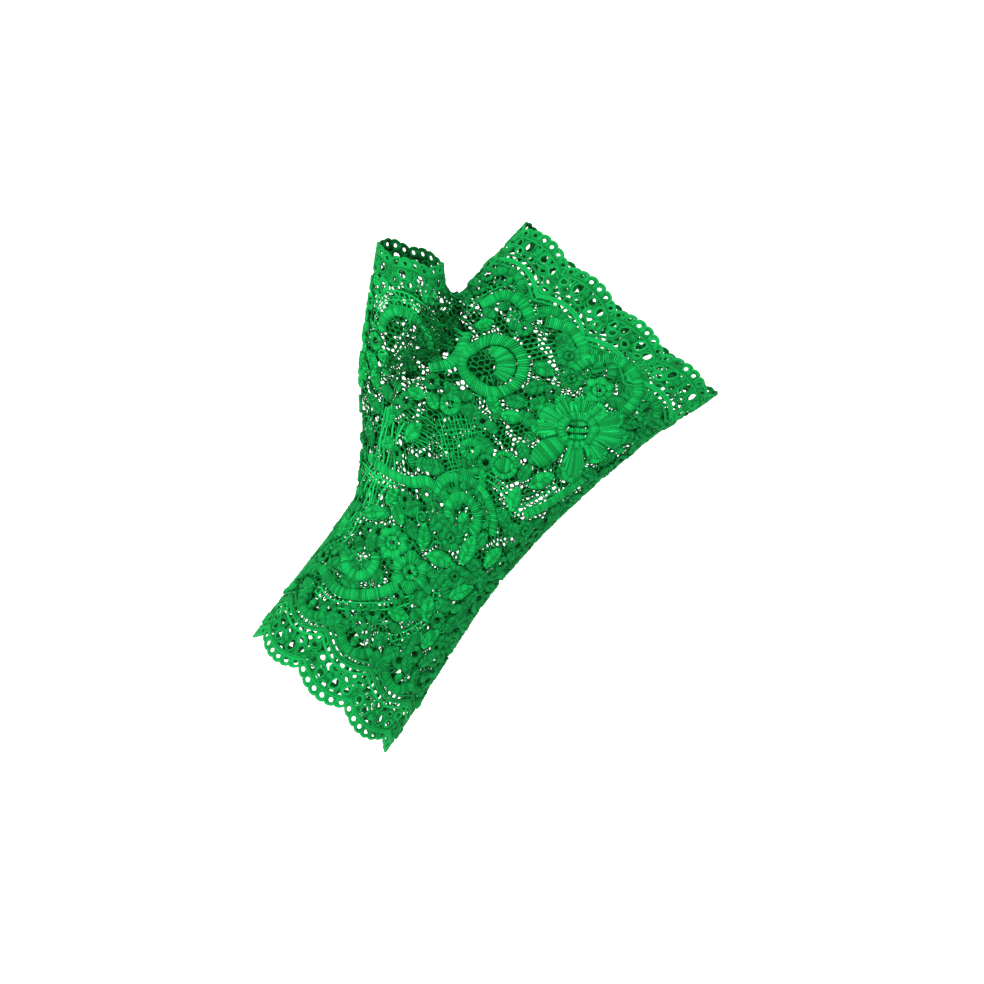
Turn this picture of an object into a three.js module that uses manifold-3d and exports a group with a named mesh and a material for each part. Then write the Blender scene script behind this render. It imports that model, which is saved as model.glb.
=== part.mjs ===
// A lace mitten without fingers, for the left hand, in the form that it has when worn.
// It is a hollow hand sleeve with a thumb sleeve sewn to its side, three scalloped hems, and
// embroidered motifs that stand up from the lace on the palm and on the back of the hand.
// The origin is the middle of the wrist opening. +Z runs from the wrist to the fingers, the palm
// faces -Y, and the thumb is on the -X side. Sizes are in millimetres.
import * as THREE from "three";
import { mergeVertices } from "three/addons/utils/BufferGeometryUtils.js";
import Module from "manifold-3d";

const wasm = await Module();
wasm.setup();

// Driving sizes
const HAND_LENGTH = 163; // from the wrist hem's tips to the finger hem's tips
const HAND_WIDTH = 84; // across the finger hem
const HAND_DEPTH = 40; // through the heel of the hand
const THUMB_REACH = 70; // from the thumb's root in the palm to the middle of its hem
const THUMB_WIDTH = 21.6; // across the thumb hem
const THUMB_DEPTH = 20.4; // through the thumb hem
const WALL = 1.2; // thickness of the lace
const CLEARANCE = 0.3; // between neighbouring pieces
const WEB_BLEND = 9; // how far the thumb's web is rounded into the hand
const RELIEF = 1.1; // how far a satin motif stands up at its middle
const EDGE_RELIEF = 0.5; // how far it stands up at its rim

// Hems. A hem's height runs from the sleeve to the valleys between its scallops.
const FINGER_HEM = { height: 9.5, scallops: 9, depth: 3.6, phase: 0.78, bow: 1.6 };
const WRIST_HEM = { height: 14, scallops: 8, depth: 4, phase: 0.51, bow: 0 };
const THUMB_HEM = { height: 6, scallops: 5, depth: 1.6, phase: 0.2, bow: 0 };
const PICOTS = 3; // small bumps on the edge of one scallop
const PICOT_HEIGHT = 0.7;
const EYELET = 1; // radius of the hole in each picot
const EYELET_INSET = 2; // from the hem's edge to the eyelet's middle

// The hand sleeve's cross sections. up is a share of HAND_LENGTH, left and right are shares of
// HAND_WIDTH, and palm and back are shares of HAND_DEPTH. square is 2 for an oval and more for a
// section with flatter sides.
const HAND_SECTIONS = [
  { up: 0.0, left: -0.345, right: 0.341, palm: 0.565, back: 0.525, square: 2.0 },
  { up: 0.1, left: -0.361, right: 0.319, palm: 0.538, back: 0.512, square: 2.0 },
  { up: 0.17, left: -0.367, right: 0.298, palm: 0.525, back: 0.5, square: 2.0 },
  { up: 0.245, left: -0.375, right: 0.274, palm: 0.508, back: 0.48, square: 2.05 },
  { up: 0.32, left: -0.389, right: 0.254, palm: 0.49, back: 0.465, square: 2.1 },
  { up: 0.38, left: -0.396, right: 0.242, palm: 0.475, back: 0.455, square: 2.1 },
  { up: 0.44, left: -0.449, right: 0.238, palm: 0.485, back: 0.45, square: 2.15 },
  { up: 0.515, left: -0.542, right: 0.238, palm: 0.5, back: 0.44, square: 2.2 },
  { up: 0.613, left: -0.589, right: 0.254, palm: 0.45, back: 0.42, square: 2.25 },
  { up: 0.7, left: -0.613, right: 0.274, palm: 0.41, back: 0.4, square: 2.3 },
  { up: 0.773, left: -0.619, right: 0.298, palm: 0.38, back: 0.385, square: 2.35 },
  { up: 0.847, left: -0.611, right: 0.321, palm: 0.355, back: 0.37, square: 2.35 },
  { up: 0.92, left: -0.607, right: 0.37, palm: 0.34, back: 0.35, square: 2.3 },
  { up: 1.0, left: -0.601, right: 0.41, palm: 0.33, back: 0.335, square: 2.3 },
];

// The thumb sleeve's cross sections. out, up and forward are shares of THUMB_REACH from the thumb's
// root. wide is a share of THUMB_WIDTH and deep is a share of THUMB_DEPTH, to each side.
const THUMB_ROOT = { across: -0.262, up: 0.497 };
const THUMB_SECTIONS = [
  { along: 0.0, out: 0.0, up: 0.0, forward: 0.03, wide: 1.02, deep: 0.8 },
  { along: 0.25, out: 0.165, up: 0.15, forward: 0.05, wide: 0.97, deep: 0.77 },
  { along: 0.5, out: 0.364, up: 0.3, forward: 0.085, wide: 0.82, deep: 0.686 },
  { along: 0.75, out: 0.575, up: 0.508, forward: 0.13, wide: 0.6, deep: 0.57 },
  { along: 1.0, out: 0.722, up: 0.69, forward: 0.17, wide: 0.5, deep: 0.5 },
  { along: 1.15, out: 0.8, up: 0.8, forward: 0.19, wide: 0.5, deep: 0.5 },
];

// The line in front view along which the thumb sleeve is sewn on: two of its points, as shares of
// HAND_WIDTH and HAND_LENGTH.
const THUMB_SEAM = { low: { across: -0.595, up: 0.478 }, high: { across: -0.645, up: 0.764 } };
// The thumb hem's slant: how far its outer side stands above a square cut, and how far its palm
// side dips, as shares of its width.
const THUMB_HEM_SLANT = 0.25;
const THUMB_HEM_DIP = 0.3;

// Swells, hollows and folds. across and wide are shares of HAND_WIDTH, up and tall are shares of
// HAND_LENGTH, height is a share of HAND_DEPTH, and turn is in degrees from the hand's axis.
const DENTS = [
  { name: "palm hollow", side: -1, across: -0.1, up: 0.66, wide: 0.14, tall: 0.15, height: -0.06, turn: 0 },
  { name: "heel swell", side: -1, across: 0.12, up: 0.47, wide: 0.12, tall: 0.12, height: 0.05, turn: 0 },
  { name: "wrist crease", side: -1, across: -0.33, up: 0.43, wide: 0.16, tall: 0.03, height: -0.05, turn: 0 },
  { name: "wrist pleat", side: -1, across: -0.3, up: 0.4, wide: 0.14, tall: 0.028, height: 0.04, turn: 12 },
  { name: "cuff pleat", side: -1, across: -0.2, up: 0.35, wide: 0.2, tall: 0.028, height: 0.035, turn: 24 },
  { name: "web pleat", side: -1, across: -0.53, up: 0.66, wide: 0.04, tall: 0.09, height: -0.05, turn: -8 },
  { name: "knuckle row", side: 1, across: -0.12, up: 0.84, wide: 0.34, tall: 0.05, height: 0.035, turn: 0 },
  { name: "back crease", side: 1, across: 0.0, up: 0.39, wide: 0.22, tall: 0.03, height: -0.04, turn: -10 },
];

// The value of a table's column at a place between its rows, on a smooth curve.
function follow(rows, key, column, at) {
  const last = rows.length - 1;
  const slope = (j) => {
    const before = rows[Math.max(j - 1, 0)];
    const after = rows[Math.min(j + 1, last)];
    return (after[column] - before[column]) / (after[key] - before[key]);
  };
  if (at <= rows[0][key]) return rows[0][column] + slope(0) * (at - rows[0][key]);
  if (at >= rows[last][key]) return rows[last][column] + slope(last) * (at - rows[last][key]);
  let i = 0;
  while (at > rows[i + 1][key]) i++;
  const span = rows[i + 1][key] - rows[i][key];
  const t = (at - rows[i][key]) / span;
  const rise = rows[i + 1][column] - rows[i][column];
  const m0 = slope(i) * span;
  const m1 = slope(i + 1) * span;
  return rows[i][column] + t * m0 + t * t * (3 * rise - 2 * m0 - m1) + t * t * t * (m0 + m1 - 2 * rise);
}

// The hand's cross section at a height.
function handSection(z) {
  const at = z / HAND_LENGTH;
  const left = follow(HAND_SECTIONS, "up", "left", at) * HAND_WIDTH;
  const right = follow(HAND_SECTIONS, "up", "right", at) * HAND_WIDTH;
  return {
    centre: (left + right) / 2,
    half: (right - left) / 2,
    palm: follow(HAND_SECTIONS, "up", "palm", at) * HAND_DEPTH,
    back: follow(HAND_SECTIONS, "up", "back", at) * HAND_DEPTH,
    square: follow(HAND_SECTIONS, "up", "square", at),
  };
}

// How far a point lies outside an oval, measured along the line from the oval's middle.
function outside(away, share) {
  return share > 0 ? away - away / share : -HAND_DEPTH / 2;
}

function outsideHand(p) {
  const s = handSection(p.z);
  const dx = p.x - s.centre;
  const depth = p.y < 0 ? s.palm : s.back;
  const sum = (Math.abs(dx) / s.half) ** s.square + (Math.abs(p.y) / depth) ** s.square;
  return outside(Math.hypot(dx, p.y), sum ** (1 / s.square));
}

// The thumb's axis, as stations with their own width and depth directions.
const AXIS_STEPS = 24;
const THUMB_END = THUMB_SECTIONS[THUMB_SECTIONS.length - 1].along;
const PALMWARD = new THREE.Vector3(0, -1, 0);

function thumbStation(along) {
  const at = (name) => follow(THUMB_SECTIONS, "along", name, along);
  const place = new THREE.Vector3(
    THUMB_ROOT.across * HAND_WIDTH - at("out") * THUMB_REACH,
    -at("forward") * THUMB_REACH,
    THUMB_ROOT.up * HAND_LENGTH + at("up") * THUMB_REACH,
  );
  return { along, place, wide: at("wide") * THUMB_WIDTH, deep: at("deep") * THUMB_DEPTH };
}

const thumbAxis = [];
for (let i = 0; i <= AXIS_STEPS; i++) {
  thumbAxis.push(thumbStation((i / AXIS_STEPS) * THUMB_END));
}
thumbAxis.forEach((station, i) => {
  const before = thumbAxis[Math.max(i - 1, 0)].place;
  const after = thumbAxis[Math.min(i + 1, AXIS_STEPS)].place;
  station.tangent = after.clone().sub(before).normalize();
  station.widthWay = PALMWARD.clone().cross(station.tangent).negate().normalize();
  station.depthWay = station.tangent.clone().cross(station.widthWay).normalize();
});

function outsideThumb(p) {
  let best = Infinity;
  let found = null;
  for (let i = 0; i < AXIS_STEPS; i++) {
    const a = thumbAxis[i];
    const b = thumbAxis[i + 1];
    const along = b.place.clone().sub(a.place);
    const t = THREE.MathUtils.clamp(p.clone().sub(a.place).dot(along) / along.lengthSq(), 0, 1);
    const from = p.clone().sub(a.place.clone().addScaledVector(along, t));
    if (from.lengthSq() < best) {
      best = from.lengthSq();
      found = { a, b, t, from };
    }
  }
  const { a, b, t, from } = found;
  const mix = (name) => a[name] + (b[name] - a[name]) * t;
  const endways = from.dot(a.tangent);
  const share = Math.hypot(
    from.dot(a.widthWay) / mix("wide"),
    from.dot(a.depthWay) / mix("deep"),
    endways / mix("wide"),
  );
  return outside(from.length(), share);
}

// How far the swells, hollows and folds lift the lace at a point.
const SIDE_FADE = 6;
function dentAt(p) {
  let lift = 0;
  for (const d of DENTS) {
    const dx = p.x - d.across * HAND_WIDTH;
    const dz = p.z - d.up * HAND_LENGTH;
    const turn = THREE.MathUtils.degToRad(d.turn);
    const u = (dx * Math.cos(turn) + dz * Math.sin(turn)) / (d.wide * HAND_WIDTH);
    const v = (dz * Math.cos(turn) - dx * Math.sin(turn)) / (d.tall * HAND_LENGTH);
    const facing = THREE.MathUtils.smoothstep(d.side * p.y, 0, SIDE_FADE);
    lift += d.height * HAND_DEPTH * facing * Math.exp(-u * u - v * v);
  }
  return lift;
}

// How far a point lies outside the mitten's outer face, hand and thumb together.
function outsideMitten(p) {
  const hand = outsideHand(p);
  const thumb = outsideThumb(p);
  const near = Math.max(WEB_BLEND - Math.abs(hand - thumb), 0) / WEB_BLEND;
  return Math.min(hand, thumb) - (near * near * WEB_BLEND) / 4 - dentAt(p);
}

const PROBE = 0.05;
function steepest(p) {
  const slope = ["x", "y", "z"].map((axis) => {
    const ahead = p.clone();
    ahead[axis] += PROBE;
    const behind = p.clone();
    behind[axis] -= PROBE;
    return (outsideMitten(ahead) - outsideMitten(behind)) / (2 * PROBE);
  });
  return new THREE.Vector3(...slope);
}

// How far along a line from a middle the outer face lies, less a depth measured square to the face.
const SEARCH_STEPS = 16;
const FARTHEST = HAND_WIDTH * 0.75;
const COARSE_STEP = FARTHEST / 40;
const STEEPEST_LEAN = 0.35; // limits how far a depth reaches along a line that grazes the face
function surfaceAlong(middle, way, depth) {
  const point = (r) => middle.clone().addScaledVector(way, r);
  let high = COARSE_STEP;
  while (high < FARTHEST && outsideMitten(point(high)) < 0) high += COARSE_STEP;
  let low = high - COARSE_STEP;
  for (let i = 0; i < SEARCH_STEPS; i++) {
    const half = (low + high) / 2;
    if (outsideMitten(point(half)) < 0) low = half;
    else high = half;
  }
  if (depth === 0) return low;
  const slope = steepest(point(low));
  const lean = Math.max(slope.dot(way) / slope.length(), STEEPEST_LEAN);
  return low - depth / lean;
}

// Where the thumb seam's plane crosses a height, in front view.
const seamLow = new THREE.Vector2(THUMB_SEAM.low.across * HAND_WIDTH, THUMB_SEAM.low.up * HAND_LENGTH);
const seamHigh = new THREE.Vector2(THUMB_SEAM.high.across * HAND_WIDTH, THUMB_SEAM.high.up * HAND_LENGTH);
const seamLean = (seamHigh.x - seamLow.x) / (seamHigh.y - seamLow.y);
const seamAcross = (z) => seamLow.x + (z - seamLow.y) * seamLean;

// A point of the hand sleeve at an angle round the hand, which is 0 on the +X side and -90 degrees
// in the middle of the palm. past is how far the point may lie beyond the thumb seam's plane.
function handPoint(angle, z, depth, past) {
  const s = handSection(z);
  const power = 2 / s.square;
  const c = Math.cos(angle);
  const n = Math.sin(angle);
  const way = new THREE.Vector3(
    s.half * Math.sign(c) * Math.abs(c) ** power,
    (n < 0 ? s.palm : s.back) * Math.sign(n) * Math.abs(n) ** power,
    0,
  ).normalize();
  const middle = new THREE.Vector3(s.centre, 0, z);
  let r = surfaceAlong(middle, way, depth);
  const limit = seamAcross(z) - past;
  if (middle.x + way.x * r < limit) r = (limit - middle.x) / way.x;
  return middle.addScaledVector(way, r);
}

// A point of the thumb sleeve at an angle round the thumb, which is 0 on the side next to the hand
// and -90 degrees on its palm side, and at a share of the way from the seam to the hem.
const pastSeam = (station) => station.place.x - seamAcross(station.place.z);
const crossing = thumbAxis.findIndex((station) => pastSeam(station) < 0);
const beforeSeam = pastSeam(thumbAxis[crossing - 1]);
const crossingShare = beforeSeam / (beforeSeam - pastSeam(thumbAxis[crossing]));
const seamAlong = ((crossing - 1 + crossingShare) / AXIS_STEPS) * THUMB_END;
const seamWay = new THREE.Vector3(seamLean, 0, 1).normalize();
const hemStation = thumbAxis[Math.round(AXIS_STEPS / THUMB_END)];
const hemWay = hemStation.widthWay.clone().addScaledVector(hemStation.tangent, -THUMB_HEM_SLANT).normalize();
const hemDepthWay = new THREE.Vector3(0, 1, 0).addScaledVector(hemStation.tangent, THUMB_HEM_DIP).normalize();

const PARALLEL_FROM = 0.72; // the thumb's sections lie parallel to its hem from this share onward
function thumbPoint(angle, share, depth) {
  const along = THREE.MathUtils.lerp(seamAlong, 1, share);
  const turn = Math.min(share / PARALLEL_FROM, 1);
  const widthWay = seamWay.clone().lerp(hemWay, turn).normalize();
  const depthWay = new THREE.Vector3(0, 1, 0).lerp(hemDepthWay, turn).normalize();
  const middle = thumbStation(along).place;
  if (share <= 0) middle.x = seamAcross(middle.z) - CLEARANCE;
  const way = widthWay.multiplyScalar(Math.cos(angle)).addScaledVector(depthWay, Math.sin(angle));
  way.normalize();
  return middle.addScaledVector(way, surfaceAlong(middle, way, depth));
}

// Angles that share out a ring's length evenly, starting on the -X side and going over the palm.
const RING_SAMPLES = 180;
function evenAngles(pointAt, count) {
  const angles = [];
  const lengths = [0];
  let before = null;
  for (let i = 0; i <= RING_SAMPLES; i++) {
    const angle = -Math.PI + (i / RING_SAMPLES) * 2 * Math.PI;
    const point = pointAt(angle);
    if (before) lengths.push(lengths[i - 1] + point.distanceTo(before));
    angles.push(angle);
    before = point;
  }
  const even = [];
  for (let k = 0, i = 0; k < count; k++) {
    const goal = (k / count) * lengths[RING_SAMPLES];
    while (lengths[i + 1] < goal) i++;
    const t = (goal - lengths[i]) / (lengths[i + 1] - lengths[i]);
    even.push(angles[i] + (angles[i + 1] - angles[i]) * t);
  }
  return even;
}

// A closed surface from a list of rings of points. Looped rings close on themselves the long way,
// and otherwise the first and the last are capped.
function skin(rings, looped) {
  const count = rings[0].length;
  const points = rings.flat();
  const faces = [];
  const quads = looped ? rings.length : rings.length - 1;
  for (let r = 0; r < quads; r++) {
    for (let c = 0; c < count; c++) {
      const a = r * count + c;
      const b = r * count + ((c + 1) % count);
      const d = ((r + 1) % rings.length) * count + c;
      const e = ((r + 1) % rings.length) * count + ((c + 1) % count);
      faces.push(a, b, e, a, e, d);
    }
  }
  if (!looped) {
    [0, rings.length - 1].forEach((r) => {
      const middle = new THREE.Vector3();
      rings[r].forEach((p) => middle.addScaledVector(p, 1 / count));
      points.push(middle);
      for (let c = 0; c < count; c++) {
        const a = r * count + c;
        const b = r * count + ((c + 1) % count);
        if (r === 0) faces.push(points.length - 1, b, a);
        else faces.push(points.length - 1, a, b);
      }
    });
  }
  return solid(points, faces);
}

function solid(points, faces) {
  const positions = new Float32Array(points.flatMap((p) => [p.x, p.y, p.z]));
  const geometry = new THREE.BufferGeometry();
  geometry.setAttribute("position", new THREE.BufferAttribute(positions, 3));
  geometry.setIndex(faces);
  const merged = mergeVertices(geometry, 1e-4);
  const mesh = new wasm.Mesh({
    numProp: 3,
    vertProperties: merged.attributes.position.array,
    triVerts: new Uint32Array(merged.index.array),
  });
  const made = new wasm.Manifold(mesh);
  if (made.volume() > 0) return made;
  for (let i = 0; i < mesh.triVerts.length; i += 3) {
    [mesh.triVerts[i + 1], mesh.triVerts[i + 2]] = [mesh.triVerts[i + 2], mesh.triVerts[i + 1]];
  }
  return new wasm.Manifold(mesh);
}

// The sleeves
const HAND_COLUMNS = 34;
// The sleeve's rows of facets, as shares of its height: closer at the wrist's folds and at the web.
const HAND_ROWS = [
  0, 0.09, 0.17, 0.24, 0.3, 0.35, 0.4, 0.45, 0.5, 0.56, 0.63, 0.7, 0.76, 0.8, 0.83, 0.86, 0.91, 1,
];
const THUMB_COLUMNS = 24;
const THUMB_ROWS = 5;
const OVERRUN = 1.5; // how far a cutting shape passes the face that it cuts
const handLow = WRIST_HEM.height + WRIST_HEM.depth;
const handHigh = HAND_LENGTH - FINGER_HEM.height - FINGER_HEM.depth - FINGER_HEM.bow;
const handAngles = evenAngles((angle) => handPoint(angle, handLow, 0, HAND_WIDTH), HAND_COLUMNS);

function handTube(depth, past, overrun) {
  const rings = [];
  const levels = HAND_ROWS.map((share) => THREE.MathUtils.lerp(handLow, handHigh, share));
  if (overrun > 0) levels.unshift(handLow - overrun);
  if (overrun > 0) levels.push(handHigh + overrun);
  for (const z of levels) {
    rings.push(handAngles.map((angle) => handPoint(angle, z, depth, past)));
  }
  return skin(rings, false);
}

const THUMB_HEM_FROM = 0.8; // the thumb hem starts at this share of the thumb sleeve
const thumbAngles = evenAngles((angle) => thumbPoint(angle, 1, 0), THUMB_COLUMNS);
const thumbGap = CLEARANCE / (THUMB_REACH * (1 - seamAlong));

function thumbWall(from, to, rows, angles, edge) {
  const rings = [];
  for (const depth of [0, WALL]) {
    for (let r = 0; r <= rows; r++) {
      const row = depth === 0 ? r : rows - r;
      const share = THREE.MathUtils.lerp(from, to, row / rows);
      rings.push(
        angles.map((angle, c) => thumbPoint(angle, row === rows && edge ? edge[c] : share, depth)),
      );
    }
  }
  return skin(rings, true);
}

// Each tube runs on through the seam's plane into the thumb, and is then trimmed to the plane.
const INTO_THUMB = 6;
const seamNormal = [Math.cos(Math.atan(seamLean)), 0, -Math.sin(Math.atan(seamLean))];
const seamOffset = seamNormal[0] * seamLow.x + seamNormal[2] * seamLow.y;
const handSolid = handTube(0, INTO_THUMB, 0).trimByPlane(seamNormal, seamOffset);
const handInside = handTube(WALL, INTO_THUMB + OVERRUN, OVERRUN);
const plainSleeve = handSolid.subtract(handInside);
const thumbSleeve = thumbWall(0, THUMB_HEM_FROM - thumbGap, THUMB_ROWS, thumbAngles, null);

// A hem's edge line: scallops, from 0 in a valley to 1 at a tip, with small picots along them.
const SCALLOP_ROUNDNESS = 0.75;
function scallop(hem, share) {
  const turn = share * hem.scallops + hem.phase;
  return Math.abs(Math.sin(Math.PI * turn)) ** SCALLOP_ROUNDNESS;
}
function picot(hem, share) {
  const turn = share * hem.scallops + hem.phase;
  return 0.5 - 0.5 * Math.cos(2 * Math.PI * PICOTS * turn);
}

// A hem of the hand sleeve, as a ring wall from a level height to its scalloped edge.
function handHem(hem, level, way) {
  const columns = hem.scallops * PICOTS * 2;
  const offset = hem.phase / hem.scallops;
  const ring = evenAngles((angle) => handPoint(angle, level, 0, HAND_WIDTH), RING_SAMPLES);
  const shares = [];
  for (let c = 0; c < columns; c++) shares.push((c / columns - offset + 1) % 1);
  const angleAt = (share) => {
    const at = share * RING_SAMPLES;
    const i = Math.floor(at) % RING_SAMPLES;
    const next = i + 1 < RING_SAMPLES ? ring[i + 1] : ring[0] + 2 * Math.PI;
    return ring[i] + (next - ring[i]) * (at - Math.floor(at));
  };
  const edgeAt = (share) => {
    const bow = hem.bow * (0.5 - 0.5 * Math.cos(angleAt(share))) + hem.height;
    return level + way * (bow + hem.depth * scallop(hem, share) - PICOT_HEIGHT);
  };
  const rings = [];
  for (const depth of [0, WALL]) {
    for (const row of depth === 0 ? [0, 1] : [1, 0]) {
      rings.push(
        shares.map((share) => {
          const edge = edgeAt(share) + way * PICOT_HEIGHT * picot(hem, share);
          return handPoint(angleAt(share), THREE.MathUtils.lerp(level, edge, row), depth, HAND_WIDTH);
        }),
      );
    }
  }
  return { wall: skin(rings, true), angleAt, edgeAt };
}
const fingerHem = handHem(FINGER_HEM, handHigh + CLEARANCE, 1);
const wristHem = handHem(WRIST_HEM, handLow - CLEARANCE, -1);

const THUMB_SCALLOP_STEPS = 5;
const thumbEdge = [];
const thumbHemColumns = THUMB_HEM.scallops * THUMB_SCALLOP_STEPS;
const thumbHemAngles = evenAngles((angle) => thumbPoint(angle, 1, 0), thumbHemColumns);
thumbHemAngles.forEach((angle, c) => {
  const dip = THUMB_HEM.depth * (1 - scallop(THUMB_HEM, c / thumbHemAngles.length));
  thumbEdge.push(1 - dip / (THUMB_REACH * (1 - seamAlong)));
});
const plainThumbHem = thumbWall(THUMB_HEM_FROM, 1, 1, thumbHemAngles, thumbEdge);

// Gaps. A gap is a small oval prism that is cut through the wall along the surface's normal.
const CUT_DEPTH = WALL * 2.5;
const CUT_HEIGHT = WALL * 1.5;
function gapCutter(place, size, sides, turn) {
  const normal = steepest(place).normalize();
  const upWay = new THREE.Vector3(0, 0, 1).addScaledVector(normal, -normal.z).normalize();
  const sideWay = upWay.clone().cross(normal);
  const ring = (far) => {
    const points = [];
    for (let i = 0; i < sides; i++) {
      const angle = ((i + 0.5) / sides) * 2 * Math.PI;
      const u = Math.cos(angle) * size.across;
      const v = Math.sin(angle) * size.up;
      const c = Math.cos(turn);
      const n = Math.sin(turn);
      points.push(
        place
          .clone()
          .addScaledVector(normal, far)
          .addScaledVector(sideWay, u * c - v * n)
          .addScaledVector(upWay, u * n + v * c),
      );
    }
    return points;
  };
  return skin([ring(-CUT_DEPTH), ring(CUT_HEIGHT)], false);
}

const HOLE = { across: EYELET, up: EYELET };
const EYELET_SIDES = 4;
const HEM_GAP_SIDES = 6;
// The openwork of one hem scallop. at is a share of the scallop's width, in is the distance from
// the valley line as a share of the hem's height, and across and up are radii in millimetres.
const HEM_GAPS = [
  { at: 0.28, in: 0.3, across: 1.5, up: 2.3, turn: 24 },
  { at: 0.72, in: 0.3, across: 1.5, up: 2.3, turn: -24 },
];

function cutHem(hem, made, way) {
  const cutters = [];
  const offset = hem.phase / hem.scallops;
  for (let k = 0; k < hem.scallops; k++) {
    for (let e = 0; e < PICOTS; e++) {
      const share = ((k + (e + 0.5) / PICOTS) / hem.scallops - offset + 1) % 1;
      const z = made.edgeAt(share) - way * (EYELET_INSET - PICOT_HEIGHT);
      cutters.push(gapCutter(handPoint(made.angleAt(share), z, 0, HAND_WIDTH), HOLE, EYELET_SIDES, 0));
    }
    for (const gap of HEM_GAPS) {
      const share = ((k + gap.at) / hem.scallops - offset + 1) % 1;
      const valley = made.edgeAt(share) - way * hem.depth * scallop(hem, share);
      const z = valley - way * gap.in * hem.height;
      const turn = way * THREE.MathUtils.degToRad(gap.turn);
      cutters.push(gapCutter(handPoint(made.angleAt(share), z, 0, HAND_WIDTH), gap, HEM_GAP_SIDES, turn));
    }
  }
  return made.wall.subtract(wasm.Manifold.union(cutters));
}
const finger = cutHem(FINGER_HEM, fingerHem, 1);
const wrist = cutHem(WRIST_HEM, wristHem, -1);

const THUMB_EYELETS = 10;
const THUMB_EYELET_SHARE = 0.93;
const thumbCutters = [];
for (let e = 0; e < THUMB_EYELETS; e++) {
  const angle = thumbHemAngles[Math.round(((e + 0.5) / THUMB_EYELETS) * thumbHemAngles.length)];
  thumbCutters.push(gapCutter(thumbPoint(angle, THUMB_EYELET_SHARE, 0), HOLE, EYELET_SIDES, 0));
}
const thumbHem = plainThumbHem.subtract(wasm.Manifold.union(thumbCutters));

// Where a place seen from the palm (side -1) or from the back (side 1) meets the faceted sleeves.
function drawn(made) {
  const mesh = made.getMesh();
  const geometry = new THREE.BufferGeometry();
  geometry.setAttribute("position", new THREE.BufferAttribute(mesh.vertProperties.slice(), 3));
  geometry.setIndex([...mesh.triVerts]);
  return new THREE.Mesh(geometry, new THREE.MeshStandardMaterial());
}
const face = drawn(handTube(0, INTO_THUMB, FINGER_HEM.height));
const caster = new THREE.Raycaster();
function onFace(x, z, side) {
  caster.set(new THREE.Vector3(x, side * HAND_WIDTH, z), new THREE.Vector3(0, -side, 0));
  const hit = caster.intersectObject(face)[0];
  if (!hit) throw new Error("no sleeve at " + x.toFixed(1) + " " + z.toFixed(1));
  return { place: hit.point, normal: hit.face.normal };
}

// Gaps in the net ground of the palm and the back. across and up are shares of HAND_WIDTH and
// HAND_LENGTH.
const NET_GAPS = [
  { across: -0.335, up: 0.52 },
  { across: -0.29, up: 0.548 },
  { across: -0.245, up: 0.575 },
  { across: -0.3, up: 0.5 },
];
const NET_GAP = { across: 1.5, up: 1.5 };
const netCutters = [];
for (const side of [-1, 1]) {
  for (const gap of NET_GAPS) {
    const { place } = onFace(gap.across * HAND_WIDTH, gap.up * HAND_LENGTH, side);
    netCutters.push(gapCutter(place, NET_GAP, HEM_GAP_SIDES, 0));
  }
}
const handSleeve = plainSleeve.subtract(wasm.Manifold.union(netCutters));

// Raised motifs. Places on the hand are shares of HAND_WIDTH across and HAND_LENGTH up, and sizes
// are shares of HAND_WIDTH. Turns are in degrees from straight up, towards +X. A band without turns
// is a whole ring, and one with lobes has that many petals along its outer edge.
const BANDS = [
  { name: "medallion", across: -0.323, up: 0.73, radius: 0.096, wide: 0.07, steps: 16 },
  { name: "flower_centre", across: 0.085, up: 0.742, radius: 0.045, wide: 0.02, steps: 10 },
  { name: "shell_arc", across: 0.024, up: 0.838, radius: 0.11, wide: 0.036, from: -66, to: 84, steps: 9 },
  { name: "horseshoe", across: -0.069, up: 0.477, radius: 0.052, wide: 0.03, from: -150, to: 100, steps: 9 },
  { name: "fan_arc", across: -0.069, up: 0.477, radius: 0.135, wide: 0.03, from: -20, to: 120, steps: 8 },
  { name: "small_ring", across: -0.357, up: 0.617, radius: 0.026, wide: 0.018, steps: 8 },
  { name: "crescent", across: -0.219, up: 0.262, radius: 0.062, wide: 0.035, from: 95, to: 275, steps: 7 },
  { name: "scroll", across: -0.34, up: 0.505, radius: 0.15, wide: 0.03, from: 122, to: 205, steps: 6 },
  { name: "petals", across: 0.085, up: 0.742, radius: 0.114, wide: 0.098, steps: 24, lobes: 8 },
  { name: "daisy", across: -0.269, up: 0.294, radius: 0.031, wide: 0.04, steps: 15, lobes: 5 },
];
const LEAVES = [
  { name: "disc", across: -0.051, up: 0.594, long: 0.08, wide: 0.08, turn: 0 },
  { name: "leaf", across: -0.38, up: 0.516, long: 0.1, wide: 0.05, turn: 60 },
  { name: "wrist_leaf", across: -0.205, up: 0.355, long: 0.1, wide: 0.05, turn: -40 },
];

function lifted(x, z, side, height) {
  const { place, normal } = onFace(x, z, side);
  return place.clone().addScaledVector(normal, CLEARANCE + height);
}

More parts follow.
